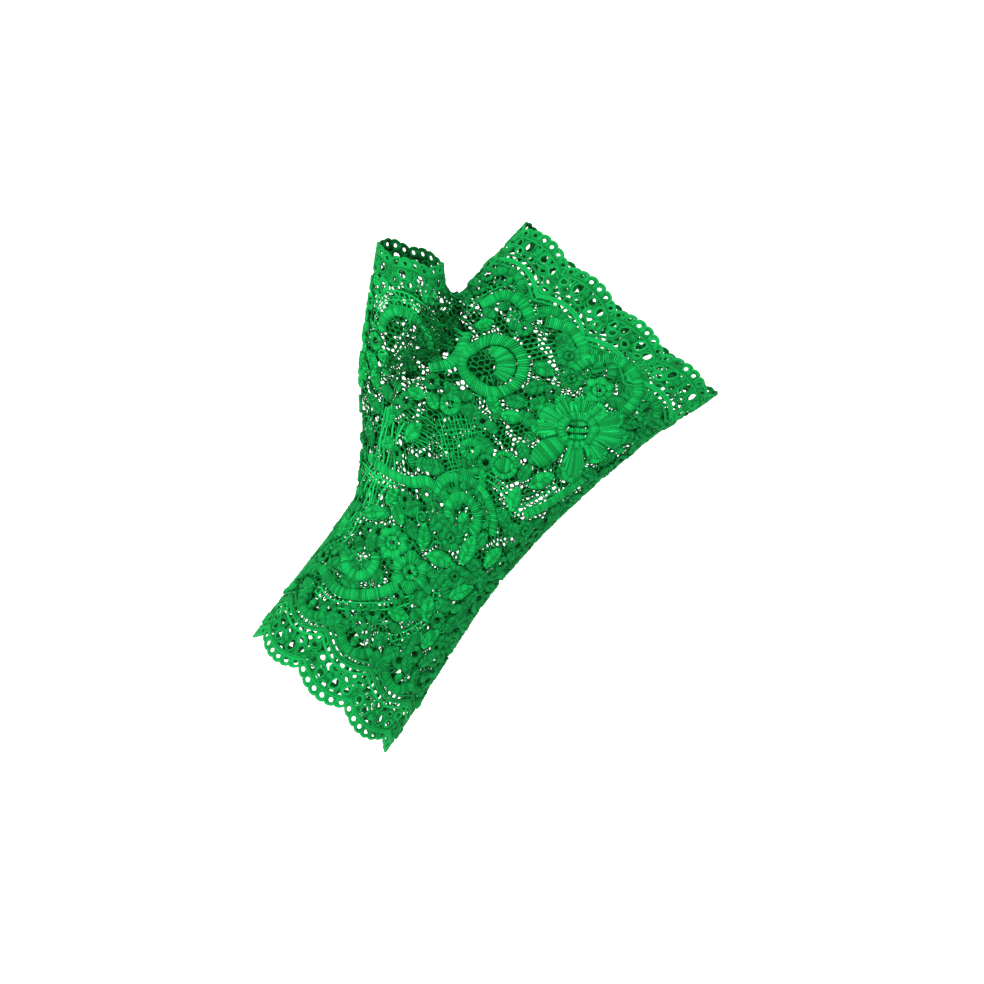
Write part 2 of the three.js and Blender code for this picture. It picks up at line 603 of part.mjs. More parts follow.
// A band along an arc, with a raised middle line. One that is wider than TRIMMED starts below the
// lace's face, by SUNK, and is trimmed to it.
const TRIMMED = 0.05;
const SUNK = 1;
const LOBE_DEPTH = 0.5; // how far the gaps between petals reach in, as a share of the band's width
const handGrown = handTube(-CLEARANCE, INTO_THUMB, 0);
function band(motif, side) {
  const whole = motif.to === undefined;
  const from = whole ? 0 : motif.from;
  const to = whole ? 360 : motif.to;
  const rings = [];
  for (let i = 0; i < motif.steps + (whole ? 0 : 1); i++) {
    const turn = THREE.MathUtils.degToRad(from + (i / motif.steps) * (to - from));
    const at = (radius, height) => {
      const x = (motif.across + Math.sin(turn) * radius) * HAND_WIDTH;
      const z = motif.up * HAND_LENGTH + Math.cos(turn) * radius * HAND_WIDTH;
      return lifted(x, z, side, height);
    };
    const petal = motif.lobes ? Math.abs(Math.sin((motif.lobes * turn) / 2)) : 1;
    const lobe = 1 - LOBE_DEPTH * (1 - petal);
    const near = motif.radius - motif.wide / 2;
    const far = near + motif.wide * lobe;
    const top = (near + far) / 2;
    const low = motif.wide > TRIMMED ? -SUNK : 0;
    rings.push([at(near, low), at(near, EDGE_RELIEF), at(top, RELIEF), at(far, EDGE_RELIEF), at(far, low)]);
  }
  const made = skin(rings, whole);
  return motif.wide > TRIMMED ? made.subtract(handGrown) : made;
}

// An oval with a raised middle.
const LEAF_SIDES = 8;
const LEAF_TOP = 0.45; // the raised middle's share of the oval
function leaf(motif, side) {
  const turn = THREE.MathUtils.degToRad(motif.turn);
  const out = new THREE.Vector2(Math.sin(turn), Math.cos(turn));
  const ring = (share, height) => {
    const points = [];
    for (let i = 0; i < LEAF_SIDES; i++) {
      const angle = (i / LEAF_SIDES) * 2 * Math.PI;
      const u = (Math.cos(angle) * motif.long * share) / 2;
      const v = (Math.sin(angle) * motif.wide * share) / 2;
      const x = (motif.across + out.x * u + out.y * v) * HAND_WIDTH;
      const z = motif.up * HAND_LENGTH + (out.y * u - out.x * v) * HAND_WIDTH;
      points.push(lifted(x, z, side, height));
    }
    return points;
  };
  return skin([ring(LEAF_TOP, 0), ring(1, 0), ring(1, EDGE_RELIEF), ring(LEAF_TOP, RELIEF)], false);
}

// The named meshes
const group = new THREE.Group();
function add(name, made, colour) {
  const mesh = drawn(made);
  mesh.name = name;
  mesh.material = new THREE.MeshStandardMaterial({ color: colour, roughness: 0.85, metalness: 0 });
  group.add(mesh);
}
const NET_GREEN = 0x158d43;
const HEM_GREEN = 0x1f9f50;
const SATIN_GREEN = 0x2eb962;
add("hand_sleeve", handSleeve, NET_GREEN);
add("thumb_sleeve", thumbSleeve, NET_GREEN);
add("finger_hem", finger, HEM_GREEN);
add("wrist_hem", wrist, HEM_GREEN);
add("thumb_hem", thumbHem, HEM_GREEN);
for (const [faceName, side] of [["palm", -1], ["back", 1]]) {
  for (const motif of BANDS) add(faceName + "_" + motif.name, band(motif, side), SATIN_GREEN);
  for (const motif of LEAVES) add(faceName + "_" + motif.name, leaf(motif, side), SATIN_GREEN);
}

export default group;
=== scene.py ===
"""A left-hand evening mitten of green floral lace, worked thread by thread.

The lace is laid out on charts. A chart is a smooth copy of the mitten's outer face with two
coordinates: s runs once round it, from 0 to 1, and v runs along it in millimetres. Every thread is
a fine tube that follows places on a chart. Lengths are in millimetres until a mesh is made.
"""
import math

import bpy
import numpy as np
from mathutils import Matrix, Vector


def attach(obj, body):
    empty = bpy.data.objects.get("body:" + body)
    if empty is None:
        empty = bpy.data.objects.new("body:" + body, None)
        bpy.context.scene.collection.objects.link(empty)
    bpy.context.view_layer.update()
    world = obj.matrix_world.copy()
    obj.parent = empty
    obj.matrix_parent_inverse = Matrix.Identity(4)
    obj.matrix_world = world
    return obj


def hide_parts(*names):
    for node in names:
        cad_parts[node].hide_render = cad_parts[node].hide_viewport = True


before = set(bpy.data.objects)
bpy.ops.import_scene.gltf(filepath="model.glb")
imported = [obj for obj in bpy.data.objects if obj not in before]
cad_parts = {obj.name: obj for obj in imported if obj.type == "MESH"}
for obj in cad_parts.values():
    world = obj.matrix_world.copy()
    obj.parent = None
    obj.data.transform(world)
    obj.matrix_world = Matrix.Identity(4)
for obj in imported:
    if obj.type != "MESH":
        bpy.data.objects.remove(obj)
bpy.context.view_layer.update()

MM = 0.001
TURN = 2 * math.pi
chance = np.random.default_rng(20)

# Sizes of the mitten's form, as in the model.
HAND_LENGTH = 163.0
HAND_WIDTH = 84.0
HAND_DEPTH = 40.0
THUMB_REACH = 70.0
THUMB_WIDTH = 21.6
THUMB_DEPTH = 20.4
WEB_BLEND = 9.0

# The hand's cross sections: height as a share of its length, left and right edges as shares of its
# width, palm and back as shares of its depth, and how square the oval is.
HAND_SECTIONS = (
    (0.0, -0.345, 0.341, 0.565, 0.525, 2.0),
    (0.1, -0.361, 0.319, 0.538, 0.512, 2.0),
    (0.17, -0.367, 0.298, 0.525, 0.5, 2.0),
    (0.245, -0.375, 0.274, 0.508, 0.48, 2.05),
    (0.32, -0.389, 0.254, 0.49, 0.465, 2.1),
    (0.38, -0.396, 0.242, 0.475, 0.455, 2.1),
    (0.44, -0.449, 0.238, 0.485, 0.45, 2.15),
    (0.515, -0.542, 0.238, 0.5, 0.44, 2.2),
    (0.613, -0.589, 0.254, 0.45, 0.42, 2.25),
    (0.7, -0.613, 0.274, 0.41, 0.4, 2.3),
    (0.773, -0.619, 0.298, 0.38, 0.385, 2.35),
    (0.847, -0.611, 0.321, 0.355, 0.37, 2.35),
    (0.92, -0.607, 0.37, 0.34, 0.35, 2.3),
    (1.0, -0.601, 0.41, 0.33, 0.335, 2.3),
)

# The thumb's cross sections: place along it, then how far out, up and forward from its root as shares
# of its reach, and its half width and half depth as shares of its width and depth. Its hem is at 1.
THUMB_ROOT = (-0.262, 0.497)
THUMB_SECTIONS = (
    (0.0, 0.0, 0.0, 0.03, 1.02, 0.8),
    (0.25, 0.165, 0.15, 0.05, 0.97, 0.77),
    (0.5, 0.364, 0.3, 0.085, 0.82, 0.686),
    (0.75, 0.575, 0.508, 0.13, 0.6, 0.57),
    (1.0, 0.722, 0.69, 0.17, 0.5, 0.5),
    (1.15, 0.8, 0.8, 0.19, 0.5, 0.5),
)

# The plane of the thumb's seam passes through these two places, (x, z).
SEAM_LOW = (-0.595 * HAND_WIDTH, 0.478 * HAND_LENGTH)
SEAM_HIGH = (-0.645 * HAND_WIDTH, 0.764 * HAND_LENGTH)

# How far the plane of the thumb's hem leans, across the thumb and from palm to back.
THUMB_HEM_SLANT = 0.25
THUMB_HEM_DIP = 0.3

# Swells, hollows and folds: side, place across and up, half width and half height, lift, and turn.
DENTS = (
    (-1, -0.1, 0.66, 0.14, 0.15, -0.06, 0),
    (-1, 0.12, 0.47, 0.12, 0.12, 0.05, 0),
    (-1, -0.33, 0.43, 0.16, 0.03, -0.05, 0),
    (-1, -0.3, 0.4, 0.14, 0.028, 0.04, 12),
    (-1, -0.2, 0.35, 0.2, 0.028, 0.035, 24),
    (-1, -0.53, 0.66, 0.04, 0.09, -0.05, -8),
    (1, -0.12, 0.84, 0.34, 0.05, 0.035, 0),
    (1, 0.0, 0.39, 0.22, 0.03, -0.04, -10),
)
SIDE_FADE = 6.0


def follow(rows, column, at):
    """A column of a table at places between its rows, on a smooth curve, and straight past its ends."""
    table = np.array(rows)
    keys = table[:, 0]
    values = table[:, column]
    last = len(keys) - 1
    before = np.maximum(np.arange(last + 1) - 1, 0)
    after = np.minimum(np.arange(last + 1) + 1, last)
    slopes = (values[after] - values[before]) / (keys[after] - keys[before])
    at = np.asarray(at, float)
    i = np.clip(np.searchsorted(keys, at) - 1, 0, last - 1)
    span = keys[i + 1] - keys[i]
    t = np.clip((at - keys[i]) / span, 0, 1)
    rise = values[i + 1] - values[i]
    m0 = slopes[i] * span
    m1 = slopes[i + 1] * span
    curve = values[i] + t * m0 + t**2 * (3 * rise - 2 * m0 - m1) + t**3 * (m0 + m1 - 2 * rise)
    under = slopes[0] * np.minimum(at - keys[0], 0)
    over = slopes[last] * np.maximum(at - keys[last], 0)
    return curve + under + over


def unit(vectors):
    return vectors / np.maximum(np.linalg.norm(vectors, axis=-1, keepdims=True), 1e-9)


def hand_section(z):
    at = z / HAND_LENGTH
    left = follow(HAND_SECTIONS, 1, at) * HAND_WIDTH
    right = follow(HAND_SECTIONS, 2, at) * HAND_WIDTH
    palm = follow(HAND_SECTIONS, 3, at) * HAND_DEPTH
    back = follow(HAND_SECTIONS, 4, at) * HAND_DEPTH
    return (left + right) / 2, (right - left) / 2, palm, back, follow(HAND_SECTIONS, 5, at)


def outside_oval(away, share):
    """How far a place lies outside an oval, from its distance to the middle and its share of the
    distance from there to the oval's edge."""
    return np.where(share > 1e-6, away - away / np.maximum(share, 1e-6), -HAND_DEPTH / 2)


def outside_hand(p):
    centre, half, palm, back, square = hand_section(p[..., 2])
    dx = p[..., 0] - centre
    depth = np.where(p[..., 1] < 0, palm, back)
    total = (np.abs(dx) / half) ** square + (np.abs(p[..., 1]) / depth) ** square
    return outside_oval(np.hypot(dx, p[..., 1]), total ** (1 / square))


def thumb_place(along):
    out = follow(THUMB_SECTIONS, 1, along) * THUMB_REACH
    up = follow(THUMB_SECTIONS, 2, along) * THUMB_REACH
    forward = follow(THUMB_SECTIONS, 3, along) * THUMB_REACH
    return np.stack([THUMB_ROOT[0] * HAND_WIDTH - out, -forward, THUMB_ROOT[1] * HAND_LENGTH + up], -1)


AXIS_STEPS = 24
AXIS_ALONG = np.linspace(0, THUMB_SECTIONS[-1][0], AXIS_STEPS + 1)
AXIS = thumb_place(AXIS_ALONG)
AXIS_WIDE = follow(THUMB_SECTIONS, 4, AXIS_ALONG) * THUMB_WIDTH
AXIS_DEEP = follow(THUMB_SECTIONS, 5, AXIS_ALONG) * THUMB_DEPTH
AXIS_WAY = unit(np.gradient(AXIS, axis=0))
WIDTH_WAY = unit(np.cross(AXIS_WAY, np.array([0.0, -1.0, 0.0])))
DEPTH_WAY = unit(np.cross(AXIS_WAY, WIDTH_WAY))


def outside_thumb(p):
    best = np.full(p.shape[:-1], np.inf)
    share = np.zeros(p.shape[:-1])
    for i in range(AXIS_STEPS):
        step = AXIS[i + 1] - AXIS[i]
        t = np.clip((p - AXIS[i]) @ step / (step @ step), 0, 1)
        away = p - AXIS[i] - t[..., None] * step
        square = (away**2).sum(-1)
        wide = AXIS_WIDE[i] + (AXIS_WIDE[i + 1] - AXIS_WIDE[i]) * t
        deep = AXIS_DEEP[i] + (AXIS_DEEP[i + 1] - AXIS_DEEP[i]) * t
        parts = (away @ WIDTH_WAY[i] / wide, away @ DEPTH_WAY[i] / deep, away @ AXIS_WAY[i] / wide)
        new = np.sqrt(parts[0] ** 2 + parts[1] ** 2 + parts[2] ** 2)
        share = np.where(square < best, new, share)
        best = np.minimum(best, square)
    return outside_oval(np.sqrt(best), share)


def dents(p):
    lift = 0.0
    for side, across, up, wide, tall, height, turn in DENTS:
        dx = p[..., 0] - across * HAND_WIDTH
        dz = p[..., 2] - up * HAND_LENGTH
        c, n = math.cos(math.radians(turn)), math.sin(math.radians(turn))
        u = (dx * c + dz * n) / (wide * HAND_WIDTH)
        v = (dz * c - dx * n) / (tall * HAND_LENGTH)
        t = np.clip(side * p[..., 1] / SIDE_FADE, 0, 1)
        lift = lift + height * HAND_DEPTH * t * t * (3 - 2 * t) * np.exp(-u * u - v * v)
    return lift


def outside_mitten(p):
    hand = outside_hand(p)
    thumb = outside_thumb(p)
    near = np.maximum(WEB_BLEND - np.abs(hand - thumb), 0) / WEB_BLEND
    return np.minimum(hand, thumb) - near**2 * WEB_BLEND / 4 - dents(p)


COARSE_STEPS = 28
FINE_STEPS = 12


def surface_along(middles, ways, farthest):
    """The first places where lines from middles leave the mitten."""
    low = np.zeros(middles.shape[:-1])
    inside = np.ones(middles.shape[:-1], bool)
    for i in range(1, COARSE_STEPS + 1):
        r = farthest * i / COARSE_STEPS
        inside &= outside_mitten(middles + ways * r) < 0
        low = np.where(inside, r, low)
    high = low + farthest / COARSE_STEPS
    for _ in range(FINE_STEPS):
        half = (low + high) / 2
        hit = outside_mitten(middles + ways * half[..., None]) < 0
        low = np.where(hit, half, low)
        high = np.where(hit, high, half)
    return middles + ways * low[..., None]


class Chart:
    """A grid of places on the mitten's face. s wraps round, and v runs along it in millimetres."""

    def __init__(self, places, v_low, v_step, around):
        self.around = around
        self.covered = []
        self.places = places
        self.v_low = v_low
        self.v_step = v_step
        self.rows, self.columns = places.shape[:2]
        round_way = np.roll(places, -1, 1) - np.roll(places, 1, 1)
        along_way = np.gradient(places, axis=0)
        self.normals = unit(np.cross(round_way, along_way))

    def mix(self, grid, s, v):
        a = (np.asarray(s) % 1.0) * self.columns
        b = np.clip((np.asarray(v) - self.v_low) / self.v_step, 0, self.rows - 1.001)
        i = np.floor(a).astype(int) % self.columns
        j = np.floor(b).astype(int)
        fa = (a - np.floor(a))[..., None]
        fb = (b - j)[..., None]
        k = (i + 1) % self.columns
        low = grid[j, i] * (1 - fa) + grid[j, k] * fa
        high = grid[j + 1, i] * (1 - fa) + grid[j + 1, k] * fa
        return low * (1 - fb) + high * fb

    def at(self, s, v, lift):
        """Places and normals, lift millimetres above the mitten's face."""
        normals = unit(self.mix(self.normals, s, v))
        return self.mix(self.places, s, v) + normals * np.asarray(lift)[..., None], normals

    def cover(self, s, v, radius, solid=True):
        """Notes that a motif covers a round place, so that the filling leaves it free. The net is
        left out of solid ones too."""
        self.covered.append((float(s), float(v), float(radius), solid))

    def near_work(self, s, v, reach=0.0, only_solid=False):
        """Whether places come within reach of a covered one."""
        near = np.zeros(np.shape(s), bool)
        for at, height, radius, solid in self.covered:
            if only_solid and not solid:
                continue
            ds = (s - at + 0.5) % 1.0 - 0.5
            near |= (ds * self.around) ** 2 + (v - height) ** 2 < (radius + reach) ** 2
        return near

    def rates(self, s, v):
        """Millimetres on the face for one unit of s and for one millimetre of v."""
        ds, dv = 0.01, 1.0
        p = self.mix(self.places, [s - ds, s + ds, s, s], [v, v, v - dv, v + dv])
        return np.linalg.norm(p[1] - p[0]) / (2 * ds), np.linalg.norm(p[3] - p[2]) / (2 * dv)

    def find(self, x, z):
        """s on the palm where the face shows x at height z, as seen from in front of the palm."""
        s = np.linspace(0.02, 0.5, 200)
        seen = self.mix(self.places, s, np.full_like(s, z))[:, 0]
        order = np.argsort(seen)
        return float(np.interp(x, seen[order], s[order]))


def seam_side(p):
    """How far a place lies on the hand's side of the thumb seam's plane."""
    lean = (SEAM_HIGH[0] - SEAM_LOW[0]) / (SEAM_HIGH[1] - SEAM_LOW[1])
    return (p[..., 0] - SEAM_LOW[0] - (p[..., 2] - SEAM_LOW[1]) * lean) / math.hypot(1, lean)


# The hand's chart: places round it, its lowest height, its reach past the fingers' end, the step
# between its rows, how far its lines look for the face, and its rough girth, by which distances
# along s are judged.
HAND_COLUMNS = 240
HAND_LOW = -4.5
HAND_BEYOND = 6.0
HAND_STEP = 1.5
HAND_LOOK = 75.0
HAND_GIRTH = 205.0
OVAL_SAMPLES = 1440


def hand_chart():
    """The hand's face. s is 0 on the thumb's side, 0.25 on the palm and 0.75 on the back."""
    heights = np.arange(HAND_LOW, HAND_LENGTH + HAND_BEYOND, HAND_STEP)
    centre, half, palm, back, square = (a[:, None] for a in hand_section(heights))
    angle = np.linspace(-math.pi, math.pi, OVAL_SAMPLES + 1)[None, :]
    c, n = np.cos(angle), np.sin(angle)
    x = half * np.sign(c) * np.abs(c) ** (2 / square)
    y = np.where(n < 0, palm, back) * np.sign(n) * np.abs(n) ** (2 / square)
    length = np.cumsum(np.hypot(np.diff(x, axis=1), np.diff(y, axis=1)), axis=1)
    length = np.concatenate([np.zeros((len(heights), 1)), length], 1)
    ways = np.zeros((len(heights), HAND_COLUMNS, 3))
    for row in range(len(heights)):
        goal = np.linspace(0, length[row, -1], HAND_COLUMNS, endpoint=False)
        ways[row, :, 0] = np.interp(goal, length[row], x[row])
        ways[row, :, 1] = np.interp(goal, length[row], y[row])
    middles = np.zeros_like(ways)
    middles[..., 0] = centre
    middles[..., 2] = heights[:, None]
    face = surface_along(middles, unit(ways), HAND_LOOK)
    return Chart(face, heights[0], HAND_STEP, HAND_GIRTH)


# The thumb's chart, in the same words. It runs from past the hem to well inside the hand.
THUMB_COLUMNS = 120
THUMB_LOW = -3.0
THUMB_SPAN = 64.0
THUMB_STEP = 1.0
THUMB_LOOK = 60.0
THUMB_GIRTH = 75.0
THUMB_AXIS_END = 1.1
THUMB_AXIS_SAMPLES = 400


def thumb_chart():
    """The thumb's face. v is 0 at its hem and grows towards the hand, in sections parallel to the
    hem. s is 0 on the side away from the hand and 0.25 on the palm side."""
    hem = int(round(AXIS_STEPS / THUMB_SECTIONS[-1][0]))
    width_way = unit(WIDTH_WAY[hem] - AXIS_WAY[hem] * THUMB_HEM_SLANT)
    depth_way = unit(np.array([0.0, 1.0, 0.0]) + AXIS_WAY[hem] * THUMB_HEM_DIP)
    along = np.linspace(0, THUMB_AXIS_END, THUMB_AXIS_SAMPLES)
    fine = thumb_place(along)
    gone = np.concatenate([[0], np.cumsum(np.linalg.norm(np.diff(fine, axis=0), axis=1))])
    at_hem = np.interp(1.0, along, gone)
    v = np.arange(THUMB_LOW, THUMB_SPAN, THUMB_STEP)
    goal = at_hem - v
    middle = np.stack([np.interp(goal, gone, fine[:, k]) for k in range(3)], -1)
    under = np.maximum(-goal, 0)[:, None] * AXIS_WAY[0]
    middle = middle - under
    angle = np.linspace(0, TURN, THUMB_COLUMNS, endpoint=False) + math.pi
    ways = np.cos(angle)[:, None] * width_way + np.sin(angle)[:, None] * depth_way
    ways = np.broadcast_to(unit(ways), (len(v), THUMB_COLUMNS, 3))
    middles = np.broadcast_to(middle[:, None, :], ways.shape)
    chart = Chart(surface_along(middles, ways, THUMB_LOOK), v[0], THUMB_STEP, THUMB_GIRTH)
    chart.normals = -chart.normals
    return chart


# The seam's chart: its lines start on a ring round the thumb's root and lean apart along v.
SEAM_COLUMNS = 120
SEAM_HALF = 12.0
SEAM_STEP = 1.0
SEAM_LOOK = 45.0
SEAM_GIRTH = 125.0
SEAM_RING = 8.0
SEAM_REACH = 11.0
SEAM_MIDDLE = 0.56


def seam_chart():
    """A band of the face along the thumb's seam, on the palm's side and over the web. s runs round
    the seam and is 0.25 on the palm. v is 0 at the seam and grows towards the hand."""
    low = np.array([SEAM_LOW[0], 0, SEAM_LOW[1]])
    high = np.array([SEAM_HIGH[0], 0, SEAM_HIGH[1]])
    along = unit(high - low)
    normal = np.array([along[2], 0.0, -along[0]])
    centre = low + (high - low) * SEAM_MIDDLE
    turn = np.linspace(0, TURN, SEAM_COLUMNS, endpoint=False)[:, None]
    ways = -np.cos(turn) * along - np.sin(turn) * np.array([0.0, 1.0, 0.0])
    v = np.arange(-SEAM_HALF, SEAM_HALF + SEAM_STEP / 2, SEAM_STEP)
    lean = (v / SEAM_REACH)[:, None, None]
    rays = np.cos(lean) * ways + np.sin(lean) * normal
    middles = np.broadcast_to(centre + SEAM_RING * ways, rays.shape)
    return Chart(surface_along(middles, rays, SEAM_LOOK), v[0], SEAM_STEP, SEAM_GIRTH)


# How far the seam's chart serves on the hand's side: height and distance from the seam.
SEAM_HEIGHTS = (92, 96, 99, 102, 105, 108, 111, 114, 117, 120, 123, 127)
SEAM_SERVES = (-4.0, 0.0, 3.0, 6.0, 7.4, 8.6, 9.2, 10.2, 11.2, 10.8, 7.4, 5.0)


def on_seam(p, low, more=0.0):
    """Whether places lie where the seam's own chart serves, from a distance on the thumb's side."""
    side = seam_side(p)
    high = np.interp(p[..., 2], SEAM_HEIGHTS, SEAM_SERVES) + more
    return (p[..., 1] < -4.5) & (side > low) & (side < high)


# No thread has a longer step than this between two places, unless it leaps over a gap in the face.
LEAP = 5.0


class Threads:
    """Threads that make one piece of the lace. Each is a tube with a tone of its own."""

    def __init__(self, name):
        self.name = name
        self.points = []
        self.lays = []
        self.tones = []
        self.faces = []
        self.count = 0

    def add(self, places, normals, radius, sides=4, closed=False, flat=1.0):
        """places and normals are (threads, places, 3). flat squashes a tube towards the face. Threads
        that would leap from one part of the face to another are left out."""
        n, k = places.shape[:2]
        tone = chance.random(n)
        radius = np.broadcast_to(np.asarray(radius, float), (n, k))
        kept = np.linalg.norm(np.diff(places, axis=1), axis=2).max(1) < LEAP
        places, normals, radius, tone = places[kept], normals[kept], radius[kept], tone[kept]
        n = len(places)
        if n == 0:
            return
        if closed:
            tangents = unit(np.roll(places, -1, 1) - np.roll(places, 1, 1))
        else:
            tangents = unit(np.gradient(places, axis=1))
        across = unit(np.cross(tangents, normals))
        up = np.cross(across, tangents)
        steps = np.linalg.norm(np.diff(places, axis=1), axis=2)
        along = np.concatenate([np.zeros((n, 1)), np.cumsum(steps, axis=1)], 1)
        a = TURN * np.arange(sides) / sides
        radius = radius[..., None, None]
        ring = across[:, :, None, :] * np.cos(a)[:, None]
        ring = ring + up[:, :, None, :] * (np.sin(a) * flat)[:, None]
        points = places[:, :, None, :] + ring * radius
        lay = np.empty((n, k, sides, 3))
        lay[..., 0] = np.cos(a)
        lay[..., 1] = np.sin(a)
        lay[..., 2] = along[:, :, None]
        index = np.arange(n * k * sides).reshape(n, k, sides) + self.count
        after = np.roll(index, -1, 2)
        if closed:
            body = np.stack([index, np.roll(index, -1, 1), np.roll(after, -1, 1), after], -1)
        else:
            body = np.stack([index[:, :-1], index[:, 1:], after[:, 1:], after[:, :-1]], -1)
        self.faces.append(body.reshape(-1, 4))
        if not closed:
            for j in range(1, sides - 2, 2):
                self.faces.append(index[:, 0][:, [0, j, j + 1, j + 2]])
                self.faces.append(index[:, -1][:, [0, j + 2, j + 1, j]])
        self.points.append(points.reshape(-1, 3))
        self.lays.append(lay.reshape(-1, 3))
        self.tones.append(np.repeat(tone, k * sides))
        self.count += n * k * sides

    def mesh(self, material):
        """Makes the piece's object."""
        points = np.concatenate(self.points) * MM
        faces = np.concatenate(self.faces)
        made = bpy.data.meshes.new(self.name)
        made.vertices.add(len(points))
        made.vertices.foreach_set("co", points.ravel())
        made.loops.add(faces.size)
        made.loops.foreach_set("vertex_index", faces.ravel().astype(np.int32))
        made.polygons.add(len(faces))
        made.polygons.foreach_set("loop_start", (np.arange(len(faces)) * 4).astype(np.int32))
        made.update(calc_edges=True)
        made.shade_smooth()
        lay = made.attributes.new("lay", "FLOAT_VECTOR", "POINT")
        lay.data.foreach_set("vector", np.concatenate(self.lays).ravel())
        tone = made.attributes.new("tone", "FLOAT", "POINT")
        tone.data.foreach_set("value", np.concatenate(self.tones))
        made.materials.append(material)
        piece = bpy.data.objects.new(self.name, made)
        bpy.context.scene.collection.objects.link(piece)
        return piece


class Spot:
    """A place on a chart that motifs are drawn round, in millimetres: x along s and y along v."""

    def __init__(self, chart, s, v, turn=0.0, back=False):
        self.chart = chart
        self.s = s
        self.v = v
        self.turn = math.radians(turn)
        self.back = back
        self.rate_s, self.rate_v = chart.rates(s, v)

    def flat(self, path):
        """The chart coordinates of a path of (x, y)."""
        path = np.asarray(path, float)
        c, n = math.cos(self.turn), math.sin(self.turn)
        x = path[..., 0] * c - path[..., 1] * n
        y = path[..., 0] * n + path[..., 1] * c
        s = self.s + x / self.rate_s
        return (1 - s if self.back else s), self.v + y / self.rate_v

    def at(self, path, lift):
        s, v = self.flat(path)
        return self.chart.at(s, v, np.broadcast_to(lift, s.shape))

    def keep_clear(self, path, radius):
        """Covers a round place at each place of a path."""
        for s, v in zip(*self.flat(path)):
            self.chart.cover(s, v, radius)


def arc(x, y, radius, low=0.0, high=360.0, count=24):
    """Places on a circle, in turns from +x towards +y, in degrees."""
    a = np.radians(np.linspace(low, high, count, endpoint=high - low < 359.9))
    return np.stack([x + np.cos(a) * radius, y + np.sin(a) * radius], -1)


def curve(points, count):
    """A smooth path through a few points, at even steps."""
    points = np.array(points, float)
    keys = np.arange(len(points))
    padded = np.concatenate([2 * points[:1] - points[1:2], points, 2 * points[-1:] - points[-2:-1]])
    t = np.linspace(0, len(points) - 1, count * 4)
    i = np.clip(np.floor(t).astype(int), 0, len(points) - 2)
    f = (t - keys[i])[:, None]
    a, b, c, d = padded[i], padded[i + 1], padded[i + 2], padded[i + 3]
    fine = b + f * (c - a) / 2 + f**2 * (a - 2.5 * b + 2 * c - d / 2)
    fine = fine + f**3 * (1.5 * (b - c) + (d - a) / 2)
    return even(fine, count)


def even(path, count):
    """The same path at even steps."""
    gone = np.concatenate([[0], np.cumsum(np.linalg.norm(np.diff(path, axis=0), axis=1))])
    goal = np.linspace(0, gone[-1], count)
    return np.stack([np.interp(goal, gone, path[:, k]) for k in range(path.shape[1])], -1)


def path_length(path):
    return np.linalg.norm(np.diff(path, axis=0), axis=1).sum()


def loop(path):
    """The same path with its first place once more at its end."""
    return np.concatenate([path, path[:1]])


def turned(x, y, along, side, turn):
    """Places along and beside a line through (x, y), which is turned by some degrees."""
    c, n = math.cos(math.radians(turn)), math.sin(math.radians(turn))
    return np.stack([x + along * c - side * n, y + along * n + side * c], -1)


def beside(path, distance, closed=False):
    """A path at one side of another, to its left."""
    if closed:
        way = np.roll(path, -1, 0) - np.roll(path, 1, 0)
    else:
        way = np.gradient(path, axis=0)
    way = unit(way)
    distance = np.broadcast_to(distance, path.shape[:1])[:, None]
    return path + np.stack([-way[:, 1], way[:, 0]], -1) * distance


# Thread radii and heights above the mitten's face, in millimetres.
NET = 0.27
GROUND_LIFT = -0.55
WORK_LIFT = -0.15

# Satin: how high its stitches arch, the step between them, their thinnest and widest radius before
# they are made wider by RIB, so that they touch.
SATIN_RISE = 0.75
STITCH_STEP = 0.6
THINNEST_STITCH = 0.17
WIDEST_STITCH = 0.55
RIB = 1.15

# Ladders: the step between rungs, the radius of their side cords, and of a rung along its length.
LADDER_PITCH = 1.9
LADDER_LIFT = WORK_LIFT - 0.15
LADDER_RAIL = 0.3
LADDER_RUNG = np.array([[1.35, 0.8, 1.35]]) * 0.24


def cord(threads, spot, path, radius, lift=WORK_LIFT, sides=6, closed=False):
    places, normals = spot.at(path, lift)
    threads.add(places[None], normals[None], radius, sides, closed, 0.85)


def spacing(path):
    """Half the distance from each place of a path to the next."""
    gaps = np.linalg.norm(np.diff(path, axis=0), axis=1)
    return np.append(gaps, gaps[-1]) / 2


def stitches(threads, spot, near, far, rise=SATIN_RISE, steps=5, ragged=0.12):
    """Satin stitches side by side, from the places of near to those of far, arched in the middle.
    Each is as wide as its spacing."""
    near = np.asarray(near, float)
    far = np.asarray(far, float)
    n = len(near)
    t = np.linspace(0, 1, steps)[None, :, None]
    loose = 1 + ragged * (chance.random((n, 1)) - 0.5)
    middle = (near + far) / 2
    near = middle + (near - middle) * loose
    far = middle + (far - middle) * (1 + ragged * (chance.random((n, 1)) - 0.5))
    paths = near[:, None, :] * (1 - t) + far[:, None, :] * t
    arch = np.sin(np.pi * np.linspace(0.06, 0.94, steps)) ** 0.7
    height = WORK_LIFT + rise * arch[None, :] * (1 + 0.16 * (chance.random((n, 1)) - 0.5))
    places, normals = spot.at(paths, height)
    wide = spacing(near)[:, None] * (1 - t[0, :, 0]) + spacing(far)[:, None] * t[0, :, 0]
    radius = np.clip(wide, THINNEST_STITCH, WIDEST_STITCH) * RIB
    threads.add(places, normals, radius * (0.92 + 0.16 * chance.random((n, 1))), 4, False, 0.9)


